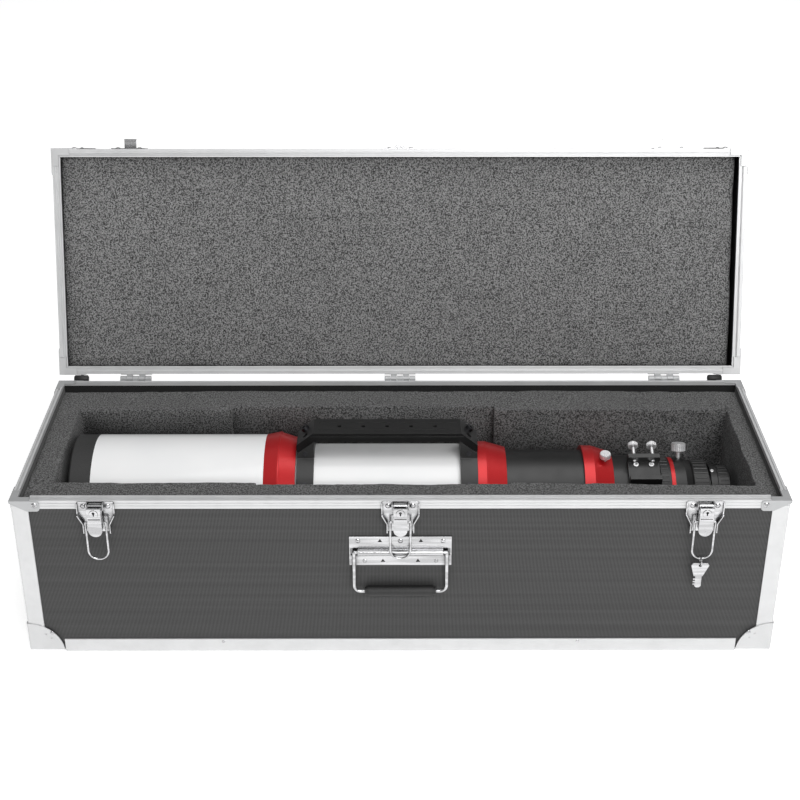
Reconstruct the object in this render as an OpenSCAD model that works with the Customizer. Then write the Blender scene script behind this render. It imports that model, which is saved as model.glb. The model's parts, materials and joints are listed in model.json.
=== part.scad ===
// Refracting telescope lying in a foam-lined, aluminium-framed transport case that stands open.
// Millimetres. X runs along the case, Y towards its hinges, Z up, origin under the middle of the base.

/* [Case] */
// Width of the case along X
case_w = 900; // [890:1:940]
// Depth of the case, from the latches to the hinges
case_d = 294; // [292:1:320]
// Height of the base half, from its underside to its rim
base_h = 217; // [216:1:230]
// Height of the lid half, from its rim to its top
lid_h = 80; // [76:1:120]
// How far the lid is open, from closed
lid_angle = 109; // [0:1:109]
// Thickness of the wall panels
panel_t = 5; // [4:0.5:6]
// Thickness of the floor panel and the lid's top panel
floor_t = 6.5; // [5:0.5:6.5]

/* [Metal frame] */
// Width of the angle on each edge
angle_w = 20; // [16:1:22]
// Thickness of the angles, and how far the panels are set back behind them
angle_t = 1.5; // [1.2:0.1:2]
// Height of the rim rails on the outside
rail_h = 11; // [10:0.5:14]
// Thickness of the rim rails from outside to inside
rail_t = 8; // [7.6:0.1:8]
// Radius of the corner caps
cap_r = 42; // [38:1:46]
// Thickness of the pressed metal of caps, braces and latch plates
sheet_t = 1.2; // [1:0.1:1.4]

/* [Latches, hinges and handle] */
// Distance between neighbouring latches
latch_pitch = 351.5; // [340:0.5:353]
// Distance between neighbouring hinges
hinge_pitch = 350; // [330:0.5:355]
// Width of a latch plate
latch_w = 44; // [40:1:48]
// Width of a hinge
hinge_w = 41; // [38:1:46]
// Length of the handle plate
handle_w = 120; // [118:1:124]
// Height of the handle plate's middle
handle_z = 147; // [145:1:150]
// Drop of the handle from its pivot to the middle of its grip
handle_drop = 53.5; // [50:0.5:60]

/* [Foam] */
// Height of the top of the cut-out foam
foam_top = 207; // [204:1:210]
// Height of the floor of the cut-out
foam_floor_z = 33.5; // [30:0.5:33.5]
// How far the lid's foam lies behind the lid's rim
lid_foam_recess = 16; // [16:0.5:20]

/* [Telescope] */
// Height of the telescope's axis
axis_z = 128; // [128:1:129]
// Left end of the telescope, at its cap
scope_x0 = -404; // [-405:0.5:-403]
// Outer radius of the dew shield
shield_r = 80; // [79:0.5:80]
// Length of the dew shield
shield_l = 210; // [200:1:210]
// Outer radius of the main tube
tube_r = 68; // [68:0.1:68]
// Radius of the clear aperture
aperture_r = 65; // [62:0.5:65]
// Width of a tube ring along the axis
ring_w = 21; // [20:0.5:21]
// Outer radius of the tube rings
ring_r = 75.5; // [74:0.5:76]
// Outer radius of the extension tube
ext_r = 60; // [59.5:0.1:60]
// Radius of the focuser's body
focuser_r = 53; // [52.5:0.1:53]
// Lean of the finder shoe from upright, towards the latches
shoe_angle = 25; // [20:1:30]

/* [Hidden] */

$fn = 64;
hair = 0.3;          // gap between pieces that move past each other
fit = 0.07;          // running clearance of a shaft in its hole, on the radius
eps = 0.01;          // small overshoot of a cut

half_w = case_w / 2;
half_d = case_d / 2;

// Hinge line, and the lid's own frame
hinge_out = 6;
hinge_y = half_d + hinge_out;
rim_gap = 0.6;
hinge_z = base_h + rim_gap / 2;
lid_top_z = base_h + rim_gap + lid_h;

// Colours
alu = [0.86, 0.87, 0.88];
steel = [0.62, 0.63, 0.65];
chrome = [0.80, 0.81, 0.83];
panel_grey = [0.31, 0.31, 0.32];
foam_grey = [0.36, 0.36, 0.37];
black = [0.07, 0.07, 0.075];
red = [0.72, 0.13, 0.15];
white = [0.93, 0.93, 0.93];
glass = [0.55, 0.75, 0.80];

// ---------------------------------------------------------------- general shapes

// Puts a piece of the closed lid where the open lid is
module on_lid() {
    translate([0, hinge_y, hinge_z]) rotate([-lid_angle, 0, 0])
        translate([0, -hinge_y, -hinge_z]) children();
}

// Turns a case half, drawn with its closed face at z = 0, into the closed lid
module as_lid() {
    on_lid() translate([0, 0, lid_top_z]) mirror([0, 0, 1]) children();
}

// Repeats a piece drawn in the corner quadrant -X -Y on all four corners
module four_corners() {
    for (mx = [0, 1]) for (my = [0, 1])
        mirror([mx, 0, 0]) mirror([0, my, 0]) children();
}

// Repeats a piece drawn at the front on the front and the rear
module front_and_rear() {
    for (my = [0, 1]) mirror([0, my, 0]) children();
}

// Repeats a piece drawn at the left end on both ends
module both_ends() {
    for (mx = [0, 1]) mirror([mx, 0, 0]) children();
}

// Box given by its low and high corners
module box(low, high) {
    translate(low) cube(high - low);
}

// Cylinder along X between x0 and x1, about the line y, z
module rod_x(x0, x1, y, z, r) {
    translate([x0, y, z]) rotate([0, 90, 0]) cylinder(h = x1 - x0, r = r);
}

// Cylinder along Y between y0 and y1, about the line x, z
module rod_y(y0, y1, x, z, r) {
    translate([x, y1, z]) rotate([90, 0, 0]) cylinder(h = y1 - y0, r = r);
}

// Outline in Y and Z, extruded along X from x0 to x1
module extrude_x(x0, x1) {
    translate([x0, 0, 0]) rotate([90, 0, 90]) linear_extrude(x1 - x0) children();
}

// Outline in X and Z, extruded along Y from y0 to y1
module extrude_y(y0, y1) {
    translate([0, y1, 0]) rotate([90, 0, 0]) linear_extrude(y1 - y0) children();
}

// Square with one corner, at the origin, rounded
module round_square(side, r) {
    translate([r, 0]) square([side - r, side]);
    translate([0, r]) square([side, side - r]);
    translate([r, r]) circle(r);
}

// Domed rivet head whose flat lies in the plane z = 0
module rivet_head(r) {
    head_h = 0.4 * r;
    ball = (r * r + head_h * head_h) / (2 * head_h);
    intersection() {
        translate([0, 0, head_h - ball]) sphere(ball);
        cylinder(h = head_h, r = r);
    }
}

// ---------------------------------------------------------------- case halves
// Each half is drawn with its closed face at z = 0 and its rim at z = h.

panel_out_y = half_d - angle_t;
panel_out_x = half_w - angle_t;
panel_in_y = panel_out_y - panel_t;
panel_in_x = panel_out_x - panel_t;
panel_foot = 3;               // the wall panels stop short of the rounded edge of the caps
web_t = 3;                    // thickness of the rim rail over the panel's edge
lip_w = 2;                    // raised lip inside the base's rim, which enters the lid
lip_h = 2.4;
lip_gap = 0.6;
lid_rail_t = 10.2;            // the lid's rail is wider than the base's, with a groove for the lip
angle_side_h = angle_w - 2;   // the level angles are a little lower than they are wide
floor_z1 = angle_t + floor_t;
brace_w = 22;
cap_edge_r = 6;               // rounding of a corner cap's level edges
cap_side_r = 3;               // and of its upright edge
cap_gap = 1;                  // between a cap and the floor panel

module floor_panel() {
    pad_x = half_w - angle_w - hair;
    pad_y = half_d - angle_w - hair;
    box([-panel_in_x, -panel_in_y, angle_t], [panel_in_x, panel_in_y, floor_z1]);
    difference() {
        box([-pad_x, -pad_y, 0], [pad_x, pad_y, angle_t + eps]);
        four_corners() translate([-half_w, -half_d, -eps]) cylinder(h = 2 * angle_t, r = cap_r + cap_gap);
    }
}

module long_panels(h) {
    front_and_rear() box([-panel_out_x, -panel_out_y, panel_foot], [panel_out_x, -panel_in_y, h - web_t]);
}

module end_panels(h) {
    both_ends() box([-panel_out_x, -panel_in_y, panel_foot], [-panel_in_x, panel_in_y, h - web_t]);
}

module upright_angle(h) {
    edge_r = 2.5;
    above_cap = 2;
    z0 = cap_edge_r + above_cap;
    translate([-half_w, -half_d, z0]) linear_extrude(h - rail_h - z0) difference() {
        round_square(angle_w, edge_r);
        translate([angle_t, angle_t]) square(angle_w);
    }
}

module floor_angle(length) {
    box([-length / 2, 0, 0], [length / 2, angle_t, angle_side_h]);
    box([-length / 2, 0, 0], [length / 2, angle_w, angle_t]);
}

module edge_angles(h) {
    shorter_by = 2 * cap_r + cap_gap;
    four_corners() upright_angle(h);
    front_and_rear() translate([0, -half_d, 0]) floor_angle(case_w - shorter_by);
    both_ends() translate([-half_w, 0, 0]) rotate([0, 0, -90]) floor_angle(case_d - shorter_by);
}

// Solid corner whose three edges are rounded, the base of a corner cap
module corner_block(side, edge_r, side_r) {
    intersection() {
        linear_extrude(side) round_square(side, side_r);
        rotate([90, 0, 90]) linear_extrude(side) round_square(side, edge_r);
        translate([0, side, 0]) rotate([90, 0, 0]) linear_extrude(side) round_square(side, edge_r);
    }
}

module corner_cap() {
    low = [-half_w - sheet_t, -half_d - sheet_t, 0];
    wrap = cap_edge_r;
    dimple_r = 1.3;
    dimple_at = 0.82 * cap_r;
    translate(low) difference() {
        intersection() {
            corner_block(cap_r + sheet_t, cap_edge_r, cap_side_r);
            union() {
                translate([sheet_t, sheet_t, 0]) cylinder(h = wrap, r = cap_r);
                translate([sheet_t, 0, 0]) rotate([-90, 0, 0]) cylinder(h = wrap, r = cap_r);
                translate([0, sheet_t, 0]) rotate([0, 90, 0]) cylinder(h = wrap, r = cap_r);
            }
        }
        translate([sheet_t, sheet_t, sheet_t])
            corner_block(2 * cap_r, cap_edge_r - sheet_t, cap_side_r - sheet_t);
        for (a = [38, 52]) translate([sheet_t + dimple_at * cos(a), 0, dimple_at * sin(a)])
            rotate([90, 0, 0]) translate([0, 0, -sheet_t / 2]) cylinder(h = sheet_t, r = dimple_r);
    }
}

module corner_caps() {
    four_corners() corner_cap();
}

// Cross-section of a rim rail: distance in from the outside, height from the rim
module rail_profile(tongue) {
    groove_w = 2.4;
    tongue_w = 1.4;
    seal_x = rail_t / 2;
    seal_d = 1.5;
    line_w = 0.8;
    line_d = 0.5;
    lip_groove_d = lip_h - rim_gap + hair;
    difference() {
        union() {
            translate([0, -rail_h]) square([angle_t, rail_h]);
            translate([0, -web_t]) square([tongue ? lid_rail_t : rail_t, web_t]);
            if (tongue) translate([seal_x - tongue_w / 2, -eps]) square([tongue_w, seal_d + eps]);
            if (!tongue) translate([rail_t - lip_w, -eps]) square([lip_w, lip_h + eps]);
        }
        if (!tongue) translate([seal_x - groove_w / 2, -seal_d]) square([groove_w, seal_d + 1]);
        if (tongue) translate([rail_t - lip_w - lip_gap, -lip_groove_d])
            square([lip_w + 2 * lip_gap, lip_groove_d + 1]);
        for (s = [0.35, 0.68]) translate([-1, -s * rail_h]) square([1 + line_d, line_w]);
    }
}

module rim_rail(length, h, tongue) {
    overhang = 3;
    mitre_gap = 0.1;
    corner_cut = brace_w + 0.5;
    half = length / 2 - mitre_gap;
    depth = tongue ? lid_rail_t : rail_t;
    difference() {
        intersection() {
            translate([-length / 2, 0, h]) rotate([90, 0, 90]) linear_extrude(length) rail_profile(tongue);
            translate([0, 0, h - 2 * rail_h]) linear_extrude(2 * rail_h + overhang)
                polygon([[-half, 0], [half, 0], [half - depth, depth], [depth - half, depth]]);
        }
        both_ends() box([-length / 2 - 1, -1, h - sheet_t],
                        [corner_cut - length / 2, depth + 1, h + overhang]);
    }
}

module rim_rails(h, tongue) {
    front_and_rear() translate([0, -half_d, 0]) rim_rail(case_w, h, tongue);
    both_ends() translate([-half_w, 0, 0]) rotate([0, 0, -90]) rim_rail(case_d, h, tongue);
}

// Ear of a rim brace on one face, in distance from the corner and height from the rim
module brace_ear() {
    ear_w = 35;
    ear_h = rail_h + 3;
    tip_r = 4;
    root_h = 3;
    root_w = brace_w - 2;
    tip_x = ear_w - tip_r;
    polygon([[0, 0], [tip_x, 0], [tip_x, -ear_h], [root_w, -ear_h], [0, -root_h]]);
    translate([tip_x, -tip_r]) circle(tip_r);
    translate([tip_x, tip_r - ear_h]) circle(tip_r);
    translate([tip_x, tip_r - ear_h]) square([tip_r, ear_h - 2 * tip_r]);
}

screw_in = 28;                // brace screws: distance from the corner
screw_drop = 6;               // and below the rim
rivet_r = 2.6;

module rim_brace(h) {
    // front ear, side ear and the top plate that lies in the rails' rebate
    translate([-half_w - sheet_t, -half_d, h]) rotate([90, 0, 0]) linear_extrude(sheet_t) brace_ear();
    translate([-half_w, -half_d - sheet_t, h]) rotate([90, 0, 90]) translate([0, 0, -sheet_t])
        linear_extrude(sheet_t) brace_ear();
    difference() {
        box([-half_w - sheet_t, -half_d - sheet_t, h - sheet_t],
            [brace_w - half_w, brace_w - half_d, h]);
        box([rail_t - half_w, rail_t - half_d, h - 2 * sheet_t], [0, 0, h + 1]);
    }
}

module rim_braces(h) {
    four_corners() rim_brace(h);
}

// Rivets and screws of one case half: cap rivets and brace screws
module half_fasteners(h) {
    cap_rivet = 0.68 * cap_r;
    screw_r = 3.6;
    four_corners() {
        translate([cap_rivet - half_w, -half_d - sheet_t, cap_rivet]) rotate([90, 0, 0]) rivet_head(rivet_r);
        translate([-half_w - sheet_t, cap_rivet - half_d, cap_rivet]) rotate([0, -90, 0]) rivet_head(rivet_r);
        translate([screw_in - half_w, -half_d - sheet_t, h - screw_drop]) rotate([90, 0, 0])
            pan_screw(screw_r);
        translate([-half_w - sheet_t, screw_in - half_d, h - screw_drop]) rotate([0, -90, 0])
            pan_screw(screw_r);
    }
}

// Pan head with a cross recess, standing on the plane z = 0
module pan_screw(r) {
    slot_l = r / 2;
    slot_w = r / 9;
    slot_floor = r / 4;
    difference() {
        rivet_head(r);
        for (a = [0, 90]) rotate([0, 0, a]) box([-slot_l, -slot_w, slot_floor], [slot_l, slot_w, r]);
    }
}

// ---------------------------------------------------------------- base half

liner_t = 0.8;

module bottom_panel() {
    color(panel_grey) floor_panel();
}

module base_long_panels() {
    color(panel_grey) long_panels(base_h);
}

module base_end_panels() {
    color(panel_grey) end_panels(base_h);
}

module base_edge_angles() {
    color(alu) edge_angles(base_h);
}

module base_corner_caps() {
    color(alu) corner_caps();
}

module base_rim_rails() {
    color(alu) rim_rails(base_h, false);
}

module base_rim_braces() {
    color(steel) rim_braces(base_h);
}

// Black lining on the inside of the four walls
module base_liner() {
    color(black) difference() {
        box([-panel_in_x, -panel_in_y, floor_z1], [panel_in_x, panel_in_y, base_h - web_t]);
        box([liner_t - panel_in_x, liner_t - panel_in_y, 0],
            [panel_in_x - liner_t, panel_in_y - liner_t, base_h]);
    }
}

// ---------------------------------------------------------------- foam

foam_x0 = 8.5 - half_w;       // left and right ends of the foam, just inside the lining
foam_x1 = half_w - 8.5;
foam_y = half_d - rail_t - hair;
cut_x0 = -413;                // ends of the cut-out
cut_x1 = 421;
cut_front = -91;              // its front wall beside the shield and the focuser
cut_front_mid = -95;          // and beside the tube rings
cut_rear = 86;                // its rear wall beside the shield
cut_rear_mid = 95;            // beside the tube rings
cut_rear_right = 85;          // and beside the focuser
cut_mid_x0 = -218;            // steps of the rear wall
cut_mid_x1 = 122;
front_mid_x0 = -172;          // steps of the front wall
front_mid_x1 = 132;

// Outline of the cut-out, seen from above
module cut_out_outline() {
    polygon([[cut_x0, cut_front], [front_mid_x0, cut_front], [front_mid_x0, cut_front_mid],
             [front_mid_x1, cut_front_mid], [front_mid_x1, cut_front], [cut_x1, cut_front],
             [cut_x1, cut_rear_right], [cut_mid_x1, cut_rear_right], [cut_mid_x1, cut_rear_mid],
             [cut_mid_x0, cut_rear_mid], [cut_mid_x0, cut_rear], [cut_x0, cut_rear]]);
}

// Foam with the telescope's cut-out through it
module foam_tray() {
    color(foam_grey) difference() {
        box([foam_x0, -foam_y, foam_floor_z], [foam_x1, foam_y, foam_top]);
        translate([0, 0, foam_floor_z - 1]) linear_extrude(foam_top) cut_out_outline();
    }
}

// Pair of wedges under the telescope, each with a 45 degree face against a tube of radius r
module cradle(x0, x1, r, half_width) {
    floor_drop = axis_z - foam_floor_z;
    slope_drop = (r + hair) * sqrt(2);          // where the two sloped faces would meet
    foot_y = slope_drop - floor_drop;
    front_and_rear() extrude_x(x0, x1)
        polygon([[foot_y, foam_floor_z - eps], [half_width, foam_floor_z - eps],
                 [half_width, axis_z - slope_drop + half_width], [foot_y, foam_floor_z]]);
}

// Foam floor with its two cradles
module foam_floor() {
    shield_half = 60;         // half widths of the two cradles
    ext_half = 44;
    shield_end = 15;          // and how far they stay from the ends of what they carry
    ext_end = 6;
    color(foam_grey) {
        box([foam_x0, -foam_y, floor_z1], [foam_x1, foam_y, foam_floor_z]);
        cradle(shield_x0 + shield_end, shield_x1 - shield_end, shield_r, shield_half);
        cradle(rear_collar_x1 + ext_end, cone_x0 - ext_end, ext_r, ext_half);
    }
}

// ---------------------------------------------------------------- hinges

knuckle_r = 3.5;
hinge_pin_r = 1.5;
leaf_t = 1.5;
leaf_h = 25;
leaf_near = 4;                // how far a leaf's plate stays from the hinge line
arm_near = 0.5;               // an arm joins each knuckle to the plate
arm_far = 5;
arm_out = 2;
knuckle_l = hinge_w / 5;
leaf_screw_x = 13;
leaf_screw_z = 17;

// One hinge leaf below the hinge line, with knuckles in the given fifths of its width
module hinge_leaf(fifths, bore_r) {
    gap = hair / 2;
    translate([0, 0, hinge_z]) difference() {
        union() {
            box([-hinge_w / 2, half_d, -leaf_h], [hinge_w / 2, half_d + leaf_t, -leaf_near]);
            for (s = fifths) {
                x0 = s * knuckle_l - hinge_w / 2 + gap;
                x1 = x0 + knuckle_l - 2 * gap;
                rod_x(x0, x1, hinge_y, 0, knuckle_r);
                box([x0, half_d, -arm_far], [x1, hinge_y - arm_out, -arm_near]);
            }
        }
        rod_x(-hinge_w, hinge_w, hinge_y, 0, bore_r);
    }
}

module at_hinges() {
    for (i = [-1:1]) translate([i * hinge_pitch, 0, 0]) children();
}

// Puts a piece drawn below the hinge line above it
module above_hinge_line() {
    translate([0, 0, 2 * hinge_z]) mirror([0, 0, 1]) children();
}

// The two rivets of a leaf below the hinge line
module leaf_rivets() {
    both_ends() translate([-leaf_screw_x, half_d + leaf_t, hinge_z - leaf_screw_z]) rotate([-90, 0, 0])
        rivet_head(rivet_r);
}

// Base leaves with their pins, which are pressed into them
module hinge_base_leaves() {
    color(steel) at_hinges() {
        hinge_leaf([0, 2, 4], hinge_pin_r);
        rod_x(-hinge_w / 2, hinge_w / 2, hinge_y, hinge_z, hinge_pin_r);
    }
}

module hinge_lid_leaves() {
    color(steel) on_lid() above_hinge_line() at_hinges() hinge_leaf([1, 3], hinge_pin_r + fit);
}

// ---------------------------------------------------------------- latches

face_y = -half_d;             // outer face of the frame at the front
latch_top = base_h - 0.5;
pivot_y = face_y - 6;         // pin that the lever turns on
pivot_z = 213;
pivot_r = 1.2;
bail_y = face_y - 9.5;        // cross wire of the bail, which swings in the lever
bail_z = 193.5;
bail_wire_r = 1.3;
bail_half = 11.7;
bail_leg = 39;
lever_half = 8;
lever_y0 = face_y - 15;       // front and rear of the lever's plate
lever_y1 = face_y - 12.5;
lever_bottom = 177;
lock_r = 5;
lock_z = 208;
latch_rivet_x = 14;
latch_rivet_drop = 6;
latch_rivet_r = 3.4;

// Pressed plate with its two flared wings and the inner ears that hold the lever's pin
module latch_plate() {
    half = latch_w / 2;
    waist = 16;
    plate_z0 = 176;
    neck_z = 188;
    shoulder = 200;
    corner = 2;
    wing_d = 6.5;
    upper_wing_d = 3.5;
    wing_t = 1.3;
    plate_y = face_y - sheet_t;
    slot_half = 7.5;
    slot_h = 2;
    slot_drop = 3.8;
    ear_out = lever_half + 2;
    ear_in = lever_half + 0.5;
    ear_y = pivot_y - 1.7;
    ear_below = 5;
    ear_above = 3;
    extrude_y(plate_y, face_y) difference() {
        polygon([[-waist, plate_z0], [waist, plate_z0], [waist, neck_z], [half, shoulder],
                 [half, latch_top - corner], [half - corner, latch_top], [corner - half, latch_top],
                 [-half, latch_top - corner], [-half, shoulder], [-waist, neck_z]]);
        translate([-slot_half, latch_top - slot_drop]) square([2 * slot_half, slot_h]);
    }
    both_ends() {
        extrude_y(face_y - wing_d, plate_y + eps)
            polygon([[-waist, plate_z0], [wing_t - waist, plate_z0], [wing_t - waist, neck_z],
                     [wing_t - half, shoulder], [-half, shoulder], [-waist, neck_z]]);
        box([-half, face_y - upper_wing_d, shoulder - eps],
            [wing_t - half, plate_y + eps, latch_top - corner]);
        difference() {
            box([-ear_out, ear_y, pivot_z - ear_below], [-ear_in, plate_y + eps, pivot_z + ear_above]);
            rod_x(-latch_w, latch_w, pivot_y, pivot_z, pivot_r);
        }
    }
    rod_x(-ear_out, ear_out, pivot_y, pivot_z, pivot_r);
}

// Draw lever with its lock barrel
module latch_lever() {
    pivot_barrel_r = 2.2;
    bail_barrel_r = 2.5;
    barrel_half = lever_half - 0.1;
    cheek_t = 1.4;
    end_z = lever_bottom + lever_half;
    top_z = pivot_z + 1.5;
    dish_r = 17.3;
    dish_out = 17;
    line_d = 0.8;
    line_z = 200;
    line_h = 1.2;
    // front plate with its rounded thumb end, its cheeks, a dished pad and a line above the bail
    difference() {
        union() {
            extrude_y(lever_y0, lever_y1) {
                translate([-lever_half, end_z]) square([2 * lever_half, top_z - end_z]);
                translate([0, end_z]) circle(lever_half);
            }
            both_ends() box([-lever_half, lever_y1 - eps, end_z], [cheek_t - lever_half, pivot_y, pivot_z]);
        }
        translate([0, lever_y0 - dish_out, end_z - 1]) rotate([90, 0, 0]) sphere(dish_r);
        rod_y(lever_y0 - 1, lever_y1 + 1, 0, lock_z, lock_r + fit);
        box([1 - lever_half, lever_y0 - 1, line_z], [lever_half - 1, lever_y0 + line_d, line_z + line_h]);
        rod_x(-latch_w, latch_w, bail_y, bail_z, bail_wire_r + fit);
        rod_x(-latch_w, latch_w, pivot_y, pivot_z, pivot_r + fit);
    }
    // barrels round the pivot pin and round the bail's cross wire
    difference() {
        rod_x(-barrel_half, barrel_half, pivot_y, pivot_z, pivot_barrel_r);
        rod_x(-latch_w, latch_w, pivot_y, pivot_z, pivot_r + fit);
    }
    difference() {
        rod_x(-barrel_half, barrel_half, bail_y, bail_z, bail_barrel_r);
        rod_x(-latch_w, latch_w, bail_y, bail_z, bail_wire_r + fit);
    }
    latch_lock();
}

// Lock barrel of a latch lever, with its keyway
module latch_lock() {
    proud = 0.6;
    keyway_d = 1.6;
    keyway_w = 1.4;
    keyway_h = 4.8;
    post_r = 1.6;
    post_z = lock_z + 1.4;
    difference() {
        rod_y(lever_y0 - proud, lever_y1, 0, lock_z, lock_r);
        box([-keyway_w / 2, lever_y0 - 2 * proud, lock_z - keyway_h / 2],
            [keyway_w / 2, lever_y0 + keyway_d, lock_z + keyway_h / 2]);
        rod_y(lever_y0 - 2 * proud, lever_y0 + keyway_d, 0, post_z, post_r);
    }
}

// Wire loop that hooks over the keeper
module latch_bail() {
    bend_z = bail_z - bail_leg;
    rod_x(-bail_half, bail_half, bail_y, bail_z, bail_wire_r);
    both_ends() translate([-bail_half, bail_y, 0]) {
        translate([0, 0, bend_z]) cylinder(h = bail_leg, r = bail_wire_r);
        translate([0, 0, bail_z]) sphere(bail_wire_r);
    }
    translate([0, bail_y, bend_z]) rotate([90, 0, 0]) rotate([0, 0, 180])
        rotate_extrude(angle = 180) translate([bail_half, 0]) circle(bail_wire_r);
}

module at_latch(i) {
    translate([i * latch_pitch, 0, 0]) children();
}

module latch_plates() {
    color(chrome) for (i = [-1:1]) at_latch(i) latch_plate();
}

module latch_lever_left() {
    color(chrome) at_latch(-1) latch_lever();
}

module latch_lever_middle() {
    color(chrome) at_latch(0) latch_lever();
}

module latch_lever_right() {
    color(chrome) at_latch(1) latch_lever();
}

module latch_bail_left() {
    color(chrome) at_latch(-1) latch_bail();
}

module latch_bail_middle() {
    color(chrome) at_latch(0) latch_bail();
}

module latch_bail_right() {
    color(chrome) at_latch(1) latch_bail();
}

// Keeper on the lid that the bail hooks over, drawn with the lid closed
keeper_z0 = base_h + rim_gap + 1.5;
keeper_h = 24;
hook_half = 7.7;
// the raised bail's bend rests on the two ends of the hook
hook_top = bail_z + bail_leg + sqrt(pow(bail_half - bail_wire_r, 2) - pow(hook_half, 2)) - hair;

module latch_keeper() {
    hook_t = 2;
    lip_t = 1.8;
    hook_lip_h = 4;
    lip_y = bail_y - bail_wire_r - hair;
    extrude_y(face_y - sheet_t, face_y) translate([-latch_w / 2, keeper_z0]) square([latch_w, keeper_h]);
    box([-hook_half, lip_y - lip_t, hook_top - hook_t], [hook_half, face_y - sheet_t + eps, hook_top]);
    box([-hook_half, lip_y - lip_t, hook_top - eps], [hook_half, lip_y, hook_top + hook_lip_h]);
}

module latch_keepers() {
    color(chrome) on_lid() for (i = [-1:1]) at_latch(i) latch_keeper();
}

// ---------------------------------------------------------------- handle

handle_half = handle_w / 2;
handle_h = 40;
handle_pin_y = face_y - 3.2;
handle_wire_r = 2.2;
handle_leg = 54.5;            // the handle's legs, out from the middle
channel_r = 3.8;              // bead of the plate that its pivot stubs turn in
channel_half = 50;
grip_half = 42;
grip_r = 6.5;
handle_bend = 8;
handle_lean = 2.6;            // the hanging handle leans out, its grip against the panel
panel_face_y = -panel_out_y;

module handle_plate() {
    upper_mark_x = 24;
    lower_mark_x = 20.6;
    mark_z = 14;
    mark_r = 3;
    end_cut_x = handle_leg + 4;
    end_cut_y0 = handle_pin_y - 5;
    end_cut_y1 = panel_face_y - 0.4;
    end_cut_below = 6;
    end_cut_above = 4;
    color(chrome) difference() {
        union() {
            extrude_y(panel_face_y - angle_t, panel_face_y) difference() {
                translate([-handle_half, handle_z - handle_h / 2]) square([handle_w, handle_h]);
                for (s = [-1, 1]) for (mark = [[upper_mark_x, mark_z], [lower_mark_x, -mark_z]])
                    translate([s * mark[0], handle_z + mark[1]]) rotate([0, 0, 90])
                        circle(r = mark_r, $fn = 3);
            }
            intersection() {
                rod_x(-channel_half, channel_half, handle_pin_y, handle_z, channel_r);
                box([-case_w, -case_d, 0], [case_w, panel_face_y, base_h]);
            }
            box([-channel_half, handle_pin_y, handle_z - channel_r],
                [channel_half, panel_face_y, handle_z + channel_r]);
        }
        rod_x(-case_w, case_w, handle_pin_y, handle_z, handle_wire_r + fit);
        both_ends() box([-end_cut_x, end_cut_y0, handle_z - end_cut_below],
                        [-channel_half, end_cut_y1, handle_z + end_cut_above]);
    }
}

// Turns the handle about its pivot to the lean at which it hangs
module handle_hang() {
    translate([0, handle_pin_y, handle_z]) rotate([-handle_lean, 0, 0]) children();
}

// Wire of the handle: two pivot stubs, two legs, two bends and the bar in the grip
module handle_bail() {
    stub_x = 38;
    leg_l = handle_drop - handle_bend;
    color(chrome) handle_hang() {
        both_ends() {
            rod_x(-handle_leg, -stub_x, 0, 0, handle_wire_r);
            translate([-handle_leg, 0, 0]) sphere(handle_wire_r);
            translate([-handle_leg, 0, -leg_l]) cylinder(h = leg_l, r = handle_wire_r);
            translate([handle_bend - handle_leg, 0, -leg_l]) rotate([90, 0, 0]) rotate([0, 0, 180])
                rotate_extrude(angle = 90) translate([handle_bend, 0]) circle(handle_wire_r);
        }
        rod_x(handle_bend - handle_leg, handle_leg - handle_bend, 0, -handle_drop, handle_wire_r);
    }
}

module handle_grip() {
    end_l = 3;
    end_step = 1.5;
    color(black) handle_hang() difference() {
        union() {
            rod_x(-grip_half + end_l, grip_half - end_l, 0, -handle_drop, grip_r);
            rod_x(-grip_half, grip_half, 0, -handle_drop, grip_r - end_step);
        }
        rod_x(-case_w, case_w, 0, -handle_drop, handle_wire_r);
    }
}

// ---------------------------------------------------------------- key

ring_wire_r = 0.6;
key_ring_r = 5.6;
wire_bottom = bail_z - bail_leg - bail_half;
key_ring_z = wire_bottom + bail_wire_r + ring_wire_r + hair - key_ring_r;
key_hole_r = 1.8;
key_hole_z = key_ring_z - key_ring_r + ring_wire_r + 0.1 - key_hole_r;
key_t = 1.6;

module key_ring() {
    color(steel) at_latch(1) translate([0, bail_y, key_ring_z]) rotate([0, 90, 0])
        rotate_extrude() translate([key_ring_r, 0]) circle(ring_wire_r);
}

// Outline of the key: a tapered bow, a blade and three bits on the blade's left
module key_outline() {
    bow_top = 3.4;
    bow_foot = -15;
    blade_x0 = -4.5;
    blade_x1 = 3;
    bevel = 2;
    blade_foot = -31;
    bit_l = 2.3;
    bit_h = 1.9;
    bit_pitch = 3.6;
    first_bit = -27.2;
    polygon(concat(
        [[blade_x0, bow_foot], [blade_x0 - bevel, bow_foot], [-10.5, 0], [-8.5, bow_top], [8.5, bow_top],
         [10.5, 0], [blade_x1 + 1, bow_foot], [blade_x1, bow_foot], [blade_x1, blade_foot + bevel],
         [blade_x1 - bevel, blade_foot], [blade_x0 + bevel, blade_foot], [blade_x0, blade_foot + bevel]],
        [for (n = [0:2]) each [[blade_x0, first_bit + n * bit_pitch],
                               [blade_x0 - bit_l, first_bit + n * bit_pitch],
                               [blade_x0 - bit_l, first_bit + n * bit_pitch + bit_h],
                               [blade_x0, first_bit + n * bit_pitch + bit_h]]]));
}

module key() {
    color(steel) at_latch(1) translate([0, bail_y, key_hole_z]) extrude_y(-key_t / 2, key_t / 2)
        difference() {
            key_outline();
            circle(key_hole_r);
        }
}

// ---------------------------------------------------------------- fixed fasteners

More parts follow.
